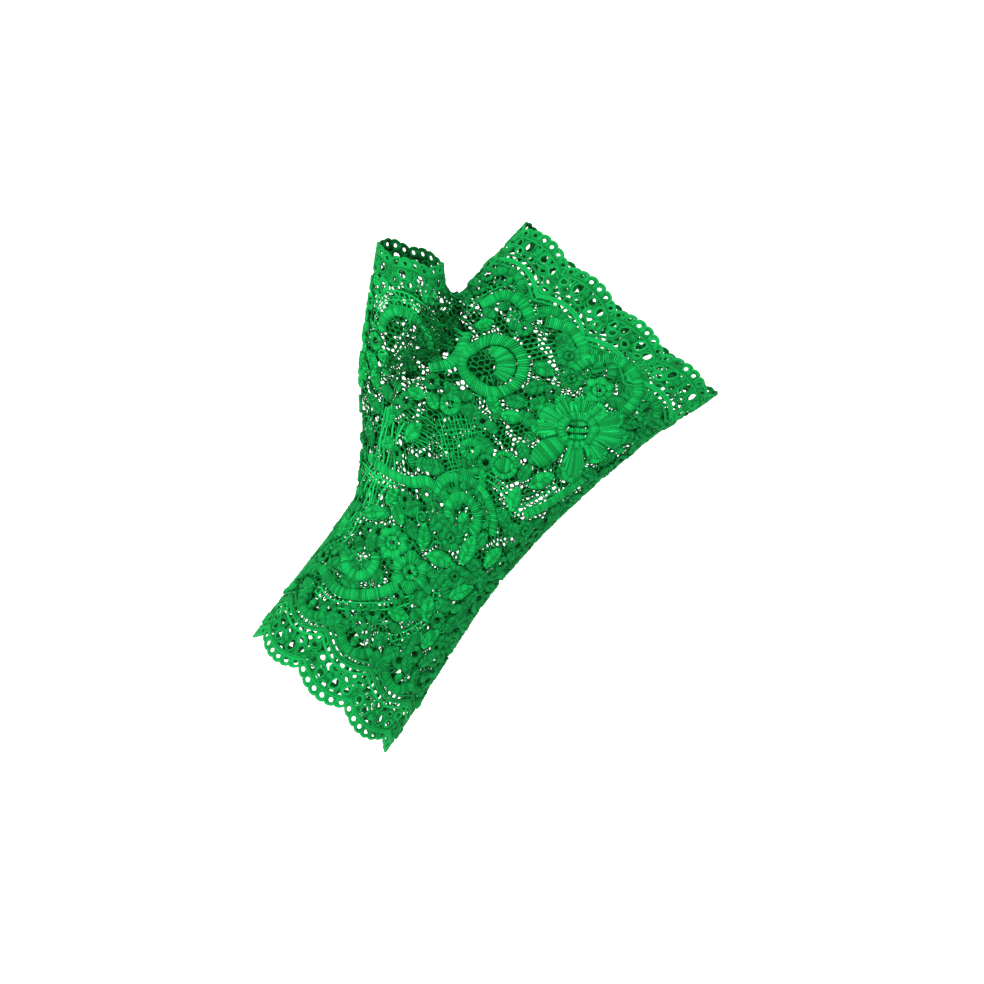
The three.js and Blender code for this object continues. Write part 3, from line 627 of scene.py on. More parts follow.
def satin_band(threads, spot, path, width, rise=SATIN_RISE, edge=0.0, closed=False, step=STITCH_STEP):
    """A band of satin stitches across a path. edge is the radius of a cord along both its sides."""
    line = loop(path) if closed else path
    length = path_length(line)
    count = max(int(length / step), 6)
    line = even(line, count + 1)[:count] if closed else even(line, count)
    width = np.asarray(width, float)
    if width.ndim:
        width = np.interp(np.linspace(0, 1, count), np.linspace(0, 1, len(width)), width)
    near = beside(line, -width / 2, closed)
    far = beside(line, width / 2, closed)
    stitches(threads, spot, near, far, rise)
    if edge:
        coarse = max(int(length / 1.2), 8)
        for side in (-0.5, 0.5):
            border = beside(line, width * side, closed)
            border = even(loop(border), coarse + 1)[:coarse] if closed else even(border, coarse)
            cord(threads, spot, border, edge, WORK_LIFT, 6, closed)


def spokes(threads, spot, near, far, radius=0.2, lift=GROUND_LIFT, sides=4):
    """Bare threads between two paths."""
    t = np.linspace(0, 1, 3)[None, :, None]
    paths = np.asarray(near)[:, None, :] * (1 - t) + np.asarray(far)[:, None, :] * t
    places, normals = spot.at(paths, lift)
    threads.add(places, normals, radius, sides)


def ladder(threads, spot, path, width):
    """Two cords with rungs between them, which leave a row of small square holes."""
    count = max(int(round(path_length(path) / LADDER_PITCH)), 4)
    line = even(path, count * 2 + 1)
    wave = np.where(np.arange(len(line)) % 2 == 0, 0.0, 0.22)
    for side in (-0.5, 0.5):
        cord(threads, spot, beside(line, (width + wave) * side), LADDER_RAIL, LADDER_LIFT)
    near = beside(line, -width / 2)[::2]
    far = beside(line, width / 2)[::2]
    spokes(threads, spot, near, far, LADDER_RUNG, LADDER_LIFT, 6)


def ring(threads, spot, x, y, radius, width, rise=0.5, edge=0.0):
    """A round satin band."""
    satin_band(threads, spot, arc(x, y, radius, count=24), width, rise, edge, True, 0.56)


def blob(threads, spot, x, y, long, wide, turn=0.0, rise=0.7):
    """A small oval of satin stitches, laid across its length."""
    count = max(int(long / 0.55), 4)
    t = np.linspace(-0.93, 0.93, count)
    half = np.sqrt(1 - t**2) * wide / 2
    along = t * long / 2
    near = turned(x, y, along, -half, turn)
    far = turned(x, y, along, half, turn)
    stitches(threads, spot, near, far, rise)
    a = np.linspace(0, TURN, 16, False)
    outline = turned(x, y, np.cos(a) * long / 2, np.sin(a) * wide / 2, turn)
    cord(threads, spot, outline, 0.26, WORK_LIFT - 0.1, 6, True)


def leaf(threads, spot, base, tip, width, rise=0.7, steps=4, sides=6):
    """A pointed leaf. Its stitches slope from a middle vein to both edges."""
    base = np.array(base, float)
    tip = np.array(tip, float)
    length = np.linalg.norm(tip - base)
    way = (tip - base) / length
    side_way = np.array([-way[1], way[0]])
    count = max(int(length / 0.62), 5)
    t = np.linspace(0.04, 0.96, count)[:, None]
    half = np.sin(np.pi * t**0.8) ** 0.75 * width / 2
    middle = base + way * length * t
    for side in (-1, 1):
        outer = middle + side_way * half * side + way * half * 0.55
        stitches(threads, spot, middle, outer, rise, steps=steps)
    cord(threads, spot, even(np.stack([base, tip]), 5), 0.22, WORK_LIFT + rise * 0.5, sides)
    t = np.linspace(0, 1, 12 if sides > 4 else 9)[:, None]
    half = np.sin(np.pi * t**0.8) ** 0.75 * width / 2 + 0.15
    left = base + way * length * t + side_way * half + way * half * 0.5 * (1 - t)
    right = base + way * length * t - side_way * half + way * half * 0.5 * (1 - t)
    cord(threads, spot, np.concatenate([left, right[::-1][1:-1]]), 0.28, WORK_LIFT - 0.05, sides, True)


# Petals that reach further than this get smoother stitches, and a satin border in place of a cord.
LARGE_PETAL = 8.0


def petal(threads, spot, x, y, turn, near, far, wide, rise=0.8, lobes=0):
    """A round petal. Its stitches run outwards from the flower's middle and fan apart."""
    count = max(int(wide / 0.58), 6)
    a = np.linspace(-1, 1, count)
    spread = np.sqrt(np.clip(1 - (np.abs(a) * 0.97) ** 2.2, 0, 1))
    start = np.stack([near + 0 * a, a * wide * 0.24], -1)
    reach = near + (far - near) * (0.45 + 0.55 * spread)
    if lobes:
        reach = reach - 0.45 * (1 - np.abs(np.sin(np.pi * lobes * (a + 1) / 2)))
    end = np.stack([reach, a * wide * 0.5], -1)
    large = far > LARGE_PETAL

    def swung(path):
        return turned(x, y, path[:, 0], path[:, 1], turn)

    stitches(threads, spot, swung(start), swung(end), rise, steps=6 if large else 3, ragged=0.05)
    border = np.concatenate([start[:1], even(end, 10) + np.array([0.2, 0.0]), start[-1:]])
    if large:
        satin_band(threads, spot, even(swung(border), 26), 1.5, rise * 0.95, step=0.68)
    else:
        cord(threads, spot, even(swung(border), 8), 0.3, WORK_LIFT - 0.05, 4)


def flower(threads, spot, x, y, radius, petals, centre, turn=0.0, rise=0.8):
    """A ring of petals round a small satin ring."""
    for k in range(petals):
        a = turn + 360 * k / petals
        width = TURN * radius * 0.66 / petals
        petal(threads, spot, x, y, a, centre * 1.15, radius, width, rise)
    ring(threads, spot, x, y, centre * 0.72, centre * 0.62, 0.7)


def shell(threads, spot, radius, width, low, high, rise, beyond, inner):
    """A satin arc round a spot, with a ladder outside it and bare spokes inside it."""
    count = max(int(math.radians(high - low) * radius / 1.5), 8)
    satin_band(threads, spot, arc(0, 0, radius, low, high, count), width, rise, 0.24)
    outside = radius + width / 2 + beyond / 2 + 0.5
    ladder(threads, spot, arc(0, 0, outside, low, high, count * 2), beyond)
    rim = arc(0, 0, radius - width / 2, low, high, count + 6)
    spokes(threads, spot, rim, arc(0, 0, inner, low - 6, high + 6, count + 6))


# The hems. count scallops run round a hem from phase on, depth deep. tip is the height of their tips,
# bow is how far the hem rises towards the thumb's side, and way points outwards along v.
FINGER = {"count": 9, "phase": 0.78, "depth": 3.6, "tip": 161.0, "bow": 1.6, "way": 1}
WRIST = {"count": 8, "phase": 0.51, "depth": 4.0, "tip": 0.4, "bow": 0.0, "way": -1}
THUMB = {"count": 5, "phase": 0.2, "depth": 1.6, "tip": 0.2, "bow": 0.0, "way": -1}

# The scallops' wave dies away over this depth, in from a hem's edge.
FADE_DEPTH = 22.0


def scallop(hem, s):
    return np.abs(np.sin(np.pi * (s * hem["count"] + hem["phase"]))) ** 0.75


def hem_height(hem, s, d):
    """v at d millimetres in from a hem's edge. The scallops fade out inwards."""
    s = np.asarray(s, float)
    fade = 1 - np.clip(np.asarray(d, float) / FADE_DEPTH, 0, 1)
    dip = hem["depth"] * (1 - fade * scallop(hem, s) - (1 - fade) * 0.6)
    bow = hem["bow"] * (0.5 + 0.5 * np.cos(TURN * s))
    return hem["tip"] + hem["way"] * (bow - dip - d)


def hem_cord(threads, chart, hem, s, d, radius, lift=WORK_LIFT):
    """A cord all round a hem, at depths d in from its edge."""
    places, normals = chart.at(s, hem_height(hem, s, d), np.full_like(s, lift))
    threads.add(places[None], normals[None], radius, 6, True, 0.9)


def hem_rings(threads, chart, hem, s, d, radius, thick, points, lift=WORK_LIFT, tall=1.0, uneven=0.0):
    """Small rings whose middles lie at s and d."""
    s, d, radius = np.broadcast_arrays(np.asarray(s, float), d, radius)
    rate = chart.rates(0.25, hem["tip"] - hem["way"] * 6)[0]
    a = np.linspace(0, TURN, points, endpoint=False)
    turn = chance.random((len(s), 2, 1)) * TURN
    shape = 1 + uneven * (np.sin(2 * a + turn[:, 0]) + 0.6 * np.sin(3 * a + turn[:, 1]))
    shape = shape * radius[:, None]
    u = s[:, None] + np.cos(a) * shape / rate
    v = hem_height(hem, s, d)[:, None] + np.sin(a) * shape * tall
    places, normals = chart.at(u, v, np.full_like(u, lift))
    threads.add(places, normals, thick, 6, True, 0.9)


def hem_posts(threads, chart, hem, s, near, far, radius, lift):
    """Short walls that run inwards from one depth to another."""
    t = np.linspace(0, 1, 3)[None, :]
    v = hem_height(hem, s, near)[:, None] * (1 - t) + hem_height(hem, s, far)[:, None] * t
    places, normals = chart.at(np.repeat(s[:, None], 3, 1), v, np.full_like(v, lift))
    threads.add(places, normals, radius, 6, False, 0.75)


def hem_edge(threads, chart, hem, picots, cord_depth, eyelet=1.1):
    """The outermost rows: picots, an eyelet behind each with walls between, and thick cords."""
    total = hem["count"] * picots
    shift = -hem["phase"] / hem["count"]
    s = np.arange(total * 8) / (total * 8) + shift
    bump = np.abs(np.sin(np.pi * total * (s - shift))) ** 0.6
    hem_cord(threads, chart, hem, s, 1.0 - 0.75 * bump, 0.5)
    middles = (np.arange(total) + 0.5) / total + shift
    hem_rings(threads, chart, hem, middles, 1.85, eyelet, 0.45, 8)
    hem_posts(threads, chart, hem, middles + 0.5 / total, 1.0, cord_depth, 0.72, WORK_LIFT - 0.1)
    s = np.arange(total * 3) / (total * 3) + shift
    hem_cord(threads, chart, hem, s, np.full_like(s, cord_depth), 0.5)
    hem_cord(threads, chart, hem, s, cord_depth + 0.75 + 0.12 * np.sin(s * 410), 0.42, WORK_LIFT + 0.15)


# How much deeper the rows of holes lie between two scallops than behind a scallop's tip.
ROW_SWING = 3.0


def hem_rows(threads, chart, hem, depths, width, pitch):
    """Rows of small square holes that follow the scallops. They lie deeper on the back."""
    for depth in depths:
        rate = chart.rates(0.25, hem["tip"] - hem["way"] * depth)[0]
        count = int(rate / pitch)
        s = np.arange(count * 2) / (count * 2)
        d = depth + 1.3 * np.clip(0.5 - 3 * np.sin(TURN * s), 0, 1) + ROW_SWING * (1 - scallop(hem, s))
        wave = np.where(np.arange(count * 2) % 2 == 0, 0.0, 0.12)
        hem_cord(threads, chart, hem, s, d - width / 2 - wave, 0.5)
        hem_cord(threads, chart, hem, s, d + width / 2 + wave, 0.5)
        near = (d - width / 2)[::2]
        far = (d + width / 2)[::2]
        posts = np.array([[0.5, 0.36, 0.5]])
        hem_posts(threads, chart, hem, s[::2], near, far, posts, WORK_LIFT - 0.1)


# The openwork of one scallop: rings at a share of its width, with depth, radius and height stretch.
OPENWORK = (
    (0.34, 5.7, 1.5, 1.25),
    (0.66, 5.9, 1.4, 1.3),
    (0.14, 6.0, 1.2, 1.2),
    (0.86, 5.8, 1.3, 1.1),
    (0.01, 6.2, 0.9, 1.3),
    (0.24, 8.5, 1.25, 0.9),
    (0.5, 9.0, 1.3, 0.85),
    (0.76, 8.6, 1.15, 0.95),
    (0.99, 8.7, 1.3, 0.9),
    (0.0, 11.4, 1.3, 1.0),
)
THUMB_OPENWORK = (
    (0.3, 5.6, 1.5, 1.1),
    (0.78, 5.7, 1.3, 1.3),
    (0.03, 5.4, 1.0, 1.1),
    (0.54, 5.5, 0.9, 1.3),
    (0.5, 8.1, 1.2, 1.0),
    (0.12, 8.0, 1.1, 1.2),
    (0.9, 8.4, 0.9, 1.0),
)


def hem_openwork(threads, chart, hem, deepen=1.0, holes=OPENWORK):
    """Uneven holes between thick walls, with leaves between them."""
    rate = chart.rates(0.25, hem["tip"] - hem["way"] * 6)[0]
    grow = rate / hem["count"] / 20.5 if holes is OPENWORK else 1.0
    for at, d, radius, tall in holes:
        s = (np.arange(hem["count"]) + at - hem["phase"]) / hem["count"]
        s = s + (chance.random(len(s)) - 0.5) * 0.8 / rate
        depths = (d + 0.5 * (chance.random(len(s)) - 0.5)) * deepen
        sizes = radius * grow * (0.9 + 0.3 * chance.random(len(s)))
        hem_rings(threads, chart, hem, s, depths, sizes, 0.42, 12, WORK_LIFT + 0.1, tall, 0.1)
        hem_rings(threads, chart, hem, s, depths, sizes + 0.65, 0.4, 12, WORK_LIFT - 0.15, tall, 0.06)
    for k in range(hem["count"]):
        for at, d, long, wide, turn in ((0.5, 6.1, 3.6, 2.3, 90), (0.0, 4.6, 2.6, 1.8, 60)):
            s = (k + at - hem["phase"]) / hem["count"]
            v = float(hem_height(hem, s, d * deepen))
            spot = Spot(chart, s, v)
            blob(threads, spot, 0, 0, long, wide, turn + 40 * (chance.random() - 0.5), 0.55)


# The net ground: hexagons of fine thread, drawn a little unevenly. NET_EDGE is a hexagon's side.
NET_EDGE = 1.1
NET_UNEVEN = 0.3


def net_ground(threads, chart, v_low, v_high, keep, radius=NET, edge=NET_EDGE):
    """A net between two heights. keep says which places of it are kept."""
    rate = chart.rates(0.25, (v_low + v_high) / 2)[0]
    columns = int(rate / (edge * math.sqrt(3) / 2) / 2) * 2
    rows = int((v_high - v_low) / (edge * 1.5)) + 1
    i, j = np.meshgrid(np.arange(columns), np.arange(rows))
    s = i / columns + 0.0 * j
    up = np.where((i + j) % 2 == 0, 1, -1)
    v = v_low + j * edge * 1.5 + up * edge / 4
    s = s + (chance.random(s.shape) - 0.5) * NET_UNEVEN * edge / rate * 1.6
    v = v + (chance.random(v.shape) - 0.5) * NET_UNEVEN * edge * 1.6
    lean = np.sin(s * TURN * 3) * 0.8 / rate
    s = s + lean * np.sin(v * 0.21)
    next_i = (i + 1) % columns
    next_s = s[j, next_i] + (next_i < i)
    sloping = np.stack([s, v, next_s, v[j, next_i]], -1).reshape(-1, 4)
    rising = ((i + j) % 2 == 0) & (j + 1 < rows)
    above = np.minimum(j + 1, rows - 1)
    upright = np.stack([s, v, s[above, i], v[above, i]], -1)[rising]
    links = np.concatenate([sloping, upright])
    middle_s = (links[:, 0] + links[:, 2]) / 2
    middle_v = (links[:, 1] + links[:, 3]) / 2
    links = links[keep(middle_s, middle_v)]
    ends = links.reshape(-1, 2, 2)
    way = ends[:, 1:] - ends[:, :1]
    t = np.array([-0.08, 1.08])[None, :, None]
    paths = ends[:, :1] + way * t
    lift = GROUND_LIFT + 0.1 * (chance.random(paths.shape[:2]) - 0.5)
    places, normals = chart.at(paths[..., 0], paths[..., 1], lift)
    kept = np.linalg.norm(places[:, 1] - places[:, 0], axis=1) < 2.8 * edge
    places, normals = places[kept], normals[kept]
    threads.add(places, normals, radius * (0.85 + 0.3 * chance.random((len(places), 1))), 4)


def hatch(threads, spot, x, y, long, wide, turn, pitch, radius=0.2):
    """Nearly straight threads, side by side within an oval, that lie over the net."""
    count = max(int(wide / pitch), 3)
    t = np.linspace(-0.92, 0.92, count)
    half = np.sqrt(1 - t**2) * long / 2 * (0.9 + 0.2 * chance.random(count))
    along = np.linspace(-1, 1, 7)[None, :] * half[:, None]
    side = (t * wide / 2)[:, None] + 0.28 * np.sin(along * 1.1 + chance.random((count, 1)) * TURN)
    places, normals = spot.at(turned(x, y, along, side, turn), GROUND_LIFT + 0.12)
    threads.add(places, normals, radius, 4)


def rgb(text):
    """A linear colour from its hex code."""
    parts = [int(text[k : k + 2], 16) / 255 for k in (0, 2, 4)]
    return tuple(p / 12.92 if p <= 0.04045 else ((p + 0.055) / 1.055) ** 2.4 for p in parts) + (1.0,)


class Group:
    """A shader node group with named inputs and outputs."""

    def __init__(self, name):
        self.tree = bpy.data.node_groups.new(name, "ShaderNodeTree")
        self.inputs = self.tree.nodes.new("NodeGroupInput")
        self.outputs = self.tree.nodes.new("NodeGroupOutput")

    def socket(self, name, kind, way="INPUT"):
        self.tree.interface.new_socket(name, in_out=way, socket_type="NodeSocket" + kind)

    def node(self, kind, **settings):
        made = self.tree.nodes.new("ShaderNode" + kind)
        for key, value in settings.items():
            setattr(made, key, value)
        return made

    def link(self, source, target):
        self.tree.links.new(source, target)

    def maths(self, operation, first, second=None, third=None):
        made = self.node("Math", operation=operation)
        for k, value in enumerate((first, second, third)):
            if value is None:
                continue
            if isinstance(value, (int, float)):
                made.inputs[k].default_value = value
            else:
                self.link(value, made.inputs[k])
        return made.outputs[0]

    def lay(self):
        """A place's cosine and sine round its thread, and its distance along it in millimetres."""
        lay = self.node("Attribute", attribute_name="lay")
        parts = self.node("SeparateXYZ")
        self.link(lay.outputs["Vector"], parts.inputs[0])
        return parts.outputs

    def noise(self, scale, detail):
        place = self.node("TexCoord")
        noise = self.node("TexNoise")
        noise.inputs["Scale"].default_value = scale
        noise.inputs["Detail"].default_value = detail
        self.link(place.outputs["Object"], noise.inputs["Vector"])
        return noise.outputs[0]

    def blend(self, share, low, high):
        """A colour between two others."""
        made = self.node("Mix", data_type="RGBA")
        self.link(share, made.inputs[0])
        self.link(low, made.inputs[6])
        self.link(high, made.inputs[7])
        return made.outputs[2]


# Spots of the slow drift of colour over the cloth, and of the thread's fuzz, to the metre.
DRIFT_SCALE = 95.0
FUZZ_SCALE = 2600.0


def thread_colours():
    """Cotton's colour: each thread's own tone, slow drift over the cloth, and painted shade on each
    thread's underside, towards the mitten's face, with a painted highlight on its outer side.
    """
    made = Group("thread colours")
    for name in ("Deep tone and shade", "Main", "Bright"):
        made.socket(name, "Color")
    made.socket("Drift", "Float")
    made.socket("Colour", "Color", "OUTPUT")
    given = made.inputs.outputs
    tone = made.node("Attribute", attribute_name="tone")
    slow = made.maths("SUBTRACT", made.noise(DRIFT_SCALE, 3.0), 0.5)
    slow = made.maths("MULTIPLY", slow, given["Drift"])
    own = made.maths("MULTIPLY_ADD", tone.outputs["Fac"], 0.62, 0.19)
    # Painted shade and highlight: the sine round the thread darkens its underside, which lies towards the
    # mitten's face and shows through the holes, and lightens its outer side.
    level = made.maths("MULTIPLY_ADD", made.lay()[1], 0.3, own)
    level = made.maths("ADD", level, slow)
    low = made.blend(made.maths("MULTIPLY", level, 2.0), given["Deep tone and shade"], given["Main"])
    colour = made.blend(made.maths("MULTIPLY_ADD", level, 2.0, -1.0), low, given["Bright"])
    made.link(colour, made.outputs.inputs["Colour"])
    return made.tree


def thread_bump():
    """The height of a thread's plies, which wind round it, and of its fuzz."""
    made = Group("thread bump")
    made.socket("Pitch", "Float")
    made.socket("Fuzz", "Float")
    made.socket("Height", "Float", "OUTPUT")
    given = made.inputs.outputs
    parts = made.lay()
    turn = made.maths("ARCTAN2", parts[1], parts[0])
    along = made.maths("MULTIPLY", made.maths("DIVIDE", parts[2], given["Pitch"]), TURN)
    plies = made.maths("SINE", made.maths("MULTIPLY_ADD", turn, 2.0, along))
    wave = made.maths("MULTIPLY_ADD", plies, 0.5, 0.5)
    rough = made.maths("MULTIPLY", made.noise(FUZZ_SCALE, 2.0), given["Fuzz"])
    made.link(made.maths("ADD", wave, rough), made.outputs.inputs["Height"])
    return made.tree


COLOURS = thread_colours()
BUMP = thread_bump()


def cotton(name, deep, main, bright, pitch, rough):
    """A green cotton thread: three greens, the pitch of its plies in millimetres, and roughness."""
    made = bpy.data.materials.new(name)
    made.use_nodes = True
    tree = made.node_tree
    shader = tree.nodes["Principled BSDF"]
    colours = tree.nodes.new("ShaderNodeGroup")
    colours.node_tree = COLOURS
    colours.inputs["Deep tone and shade"].default_value = rgb(deep)
    colours.inputs["Main"].default_value = rgb(main)
    colours.inputs["Bright"].default_value = rgb(bright)
    colours.inputs["Drift"].default_value = 0.4
    tree.links.new(colours.outputs["Colour"], shader.inputs["Base Color"])
    plies = tree.nodes.new("ShaderNodeGroup")
    plies.node_tree = BUMP
    plies.inputs["Pitch"].default_value = pitch
    plies.inputs["Fuzz"].default_value = 0.4
    relief = tree.nodes.new("ShaderNodeBump")
    relief.inputs["Strength"].default_value = 0.25
    relief.inputs["Distance"].default_value = 0.00012
    tree.links.new(plies.outputs["Height"], relief.inputs["Height"])
    tree.links.new(relief.outputs["Normal"], shader.inputs["Normal"])
    shader.inputs["Roughness"].default_value = rough
    shader.inputs["Specular IOR Level"].default_value = 0.12
    return made


# Each cotton's first green is its deep tone and also the painted shade on the threads' undersides; its
# last green is its bright tone and also the painted highlight on their outer sides.
NET_COTTON = cotton("net cotton", "00330f", "006c2c", "068c3f", 0.9, 0.85)
HEM_COTTON = cotton("hem cotton", "003c12", "007832", "059c48", 1.1, 0.8)
FILL_COTTON = cotton("filling cotton", "003a12", "007230", "049446", 1.2, 0.75)
SATIN_COTTON = cotton("satin cotton", "004717", "00863a", "07b254", 1.4, 0.7)


hand = hand_chart()
thumb = thumb_chart()
seam = seam_chart()


def place(x, z, turn=0.0, back=False, clear=0.0):
    """The spot that shows x and z as seen from in front of the palm, or its twin on the back."""
    s = hand.find(x, z)
    if clear:
        hand.cover(1 - s if back else s, z, clear)
    return Spot(hand, s, z, turn, back)


def trace(points, back=False, clear=0.0, count=24):
    """A smooth path through places that are given as seen from in front of the palm."""
    points = np.array(points, float)
    s = np.array([hand.find(x, z) for x, z in points])
    middle = len(points) // 2
    spot = Spot(hand, s[middle], points[middle, 1], 0.0, back)
    path = np.stack([(s - spot.s) * spot.rate_s, (points[:, 1] - spot.v) * spot.rate_v], -1)
    path = curve(path, count)
    if clear:
        spot.keep_clear(path[::3], clear)
    return spot, path


# The medallion: its outer and inner radius, its hole's radius, and how many stitches go round it.
MEDALLION_RADIUS = 10.5
MEDALLION_INSIDE = 7.1
HOLE_RADIUS = 4.4
MEDALLION_STITCHES = 92


def medallion_ring(threads, spot, hole, groove):
    """A satin ring with a hole off its middle. A crescent of satin fills part of the wide side
    between them and bare threads cross the rest. Returns the open part's edge and the outer one."""
    a = np.linspace(0, TURN, MEDALLION_STITCHES, endpoint=False)
    ways = np.stack([np.cos(a), np.sin(a)], -1)
    along = ways @ np.array(hole)

    def circle(radius):
        """Where lines from the hole's middle meet a circle round the spot."""
        reach = -along + np.sqrt(along**2 + radius**2 - np.dot(hole, hole))
        return np.array(hole) + ways * np.maximum(reach, HOLE_RADIUS)[:, None]

    edge = np.array(hole) + ways * HOLE_RADIUS
    inner = circle(MEDALLION_INSIDE - groove)
    near = circle(MEDALLION_INSIDE)
    far = circle(MEDALLION_RADIUS)
    off = (a - math.atan2(-hole[1], -hole[0]) + math.pi) % TURN - math.pi
    filled = (off > math.radians(-40)) & (off < math.radians(70))
    laced = np.linalg.norm(near - edge, axis=1) > 1.2
    stitches(threads, spot, edge[filled], inner[filled], 0.7, steps=6, ragged=0.05)
    stitches(threads, spot, near, far, 0.95, steps=6, ragged=0.06)
    spokes(threads, spot, edge[laced & ~filled][::4] * 0.8, near[laced & ~filled][::4], 0.24)
    edge = np.where(filled[:, None], edge, near)
    cord(threads, spot, edge[::2], 0.4, closed=True)
    cord(threads, spot, arc(0, 0, MEDALLION_RADIUS, count=48), 0.36, closed=True)
    return edge, far


def draw_medallion(work, back):
    spot = place(-27.1, 119.1, 0, back)
    hole = (2.9, 2.6) if back else (-2.9, -2.6)
    near, far = medallion_ring(work, spot, hole, 0.0 if back else 0.6)
    for a, b in zip(near[::6], far[::6]):
        spot.keep_clear([(a + b) / 2], np.linalg.norm(b - a) / 2)
    if back:
        flower(work, spot, *hole, 3.6, 7, 1.3)


# Petals of the large flower: turn, reach, width.
LARGE_PETALS = (
    (190, 14.0, 5.4),
    (160, 12.6, 4.4),
    (124, 11.6, 5.2),
    (94, 11.0, 4.2),
    (62, 14.2, 5.6),
    (32, 15.6, 6.4),
    (-8, 13.4, 5.6),
    (-52, 17.4, 6.6),
    (-140, 13.6, 5.0),
)


# The widths along the broad band below the flower's middle, and the way that the band runs.
BROAD_BAND = (4.0, 6.6, 7.6, 7.0, 4.2)
BROAD_BAND_TURN = math.radians(-99)


def draw_bloom(work, back):
    """The large flower, with three bars in its middle, and the shell and small flower over it."""
    bloom = place(6.9, 120.9, 0, back, 6.0)
    hand.cover(*bloom.flat((0.0, 0.0)), 13.0, False)
    for turn, reach, wide in LARGE_PETALS:
        petal(work, bloom, 0, 0, turn, 6.0, reach, wide, 0.85, 3)
    way = np.array([math.cos(BROAD_BAND_TURN), math.sin(BROAD_BAND_TURN)])
    line = even(np.stack([way * 6.2, way * 17.0]), 9)
    satin_band(work, bloom, line, BROAD_BAND, 0.95, 0.28)
    ring(work, bloom, 0, 0, 5.0, 2.5, 0.9, 0.3)
    for shift, long in ((2.3, 4.6), (0.0, 6.2), (-2.3, 4.6)):
        blob(work, bloom, -0.66 * shift, 0.75 * shift, long, 4.0 if back else 1.5, 41, 0.9)

    arch = place(3.8, 136.6, 0, back, 4.0)
    shell(work, arch, 10.7, 3.2, -4, 188, 0.85, 2.2, 5.4)
    flower(work, arch, 0, -1.5, 4.6, 7, 1.9, 20)


# Satin bands: places as seen from in front of the palm, width, and how far the filling keeps off.
SATIN_BANDS = (
    (((-41.1, 120.8), (-38.5, 115.1), (-38.8, 109.8), (-42.4, 104.8)), 3.6, 1.8),
    (((-38.2, 70.2), (-31.5, 70.1), (-23.1, 72.7), (-18.6, 76.6), (-13.6, 76.3)), 2.8, 1.6),
    (((-43.5, 131.3), (-40.3, 138.3), (-34.0, 140.2), (-27.4, 138.0)), 3.2, 1.8),
    (((-24.0, 141.0), (-17.4, 144.1), (-10.7, 143.2), (-6.3, 140.4)), 3.4, 1.8),
    (((-26.4, 32.9), (-18.7, 30.9), (-12.2, 34.0), (-7.4, 39.0), (-4.1, 44.7)), 3.0, 1.6),
    (((12.1, 88.7), (15.1, 95.9), (17.0, 102.9), (18.6, 110.3)), 2.6, 1.5),
)

# Satin rings beside the disc: x, z, radius.
DISC_RINGS = ((-15.3, 93.5, 2.5), (-29.7, 100.1, 2.6), (-7.6, 88.2, 2.0))

# Leaves: x, z, turn, length, width.
LEAVES = (
    (-25.4, 57.5, 40, 9, 4.4),
    (-19.6, 62.5, -30, 8, 4.2),
    (-24.6, 65.4, 75, 6, 3.4),
    (0.4, 60.2, 20, 9, 4.6),
    (-8.0, 62.2, 120, 8, 4.2),
    (5.6, 68.2, 95, 10, 4.8),
    (13.0, 71.6, 80, 8, 4.4),
    (-32.9, 85.4, 70, 8, 4.6),
    (-19.6, 109.6, 150, 7, 3.6),
    (-12.2, 110.2, 30, 7, 4.0),
    (-34.6, 97.2, 160, 6, 3.4),
    (-40.2, 95.8, 200, 6, 3.4),
    (-41.9, 84.6, 95, 6, 3.2),
    (-36.6, 77.6, 35, 6, 3.4),
    (8.6, 100.8, 65, 9, 4.6),
    (6.0, 90.6, 110, 8, 4.2),
    (12.5, 56.5, 60, 9, 4.6),
    (8.0, 45.5, 115, 8, 4.4),
    (15.0, 38.5, 75, 8, 4.2),
    (2.0, 38.0, 20, 7, 3.8),
    (-30.0, 48.0, 100, 8, 4.0),
    (-14.4, 128.6, 15, 7, 3.6),
    (-38.6, 127.0, 60, 6, 3.4),
)


def draw_horseshoe(work, back):
    """The fan's arc, with the horseshoe inside it."""
    fan = place(-3.2, 75.5, 0, back)
    satin_band(work, fan, arc(0, 0, 11.2, 10, 172, 24), 2.2, 0.8, 0.28)
    outer = arc(0, 0, 10.4, 14, 168, 24)
    spokes(work, fan, outer, arc(0, 0, 6.6, 14, 168, 24), 0.2, GROUND_LIFT + 0.2)
    satin_band(work, fan, arc(0, 0, 5.6, -20, 215, 20), 2.8, 0.9, 0.26)
    blob(work, fan, 0.3, -0.5, 3.6, 2.2, 60)


def draw_disc(work, back):
    disc = place(-3.9, 96.7, 0, back, 3.6)
    blob(work, disc, 0, 0, 5.6, 4.8, 30, 0.8)
    ring(work, disc, 0, 0, 3.7, 1.5, 0.6)
    for x, z, radius in DISC_RINGS:
        ring(work, place(x, z, 0, back, 1.2), 0, 0, radius, 1.7, 0.6, 0.22)


def draw_crescent(work, back):
    """The crescent near the wrist, and the two small flowers over it."""
    crescent = place(-19.2, 43.6, 0, back, 2.5)
    satin_band(work, crescent, arc(0, 0, 5.6, 205, 405, 20), 3.0, 0.9, 0.28)
    spokes(work, crescent, arc(0, 0, 4.2, 210, 400, 12), arc(0, 0, 1.2, 210, 400, 12), 0.22)
    cord(work, crescent, arc(0, 0, 1.1, count=10), 0.34, closed=True)
    flower(work, place(-14.5, 54.2, 0, back, 4.6), 0, 0, 5.4, 7, 2.0, 10)
    flower(work, place(-4.0, 50.7, 0, back, 5.2), 0, 0, 6.4, 6, 2.2, 0)


def draw_side(work, back):
    """The motifs of the palm, or of the back."""
    draw_medallion(work, back)
    draw_bloom(work, back)
    for points, width, clear in SATIN_BANDS:
        spot, path = trace(points, back, clear)
        satin_band(work, spot, path, width, 0.75, 0.26)
    draw_horseshoe(work, back)
    draw_disc(work, back)
    draw_crescent(work, back)
    for x, z, turn, long, wide in LEAVES:
        spot = place(x, z, turn, back, min(long, 2 * wide) * 0.36)
        leaf(work, spot, (-long / 2, 0), (long / 2, 0), wide, 0.75)


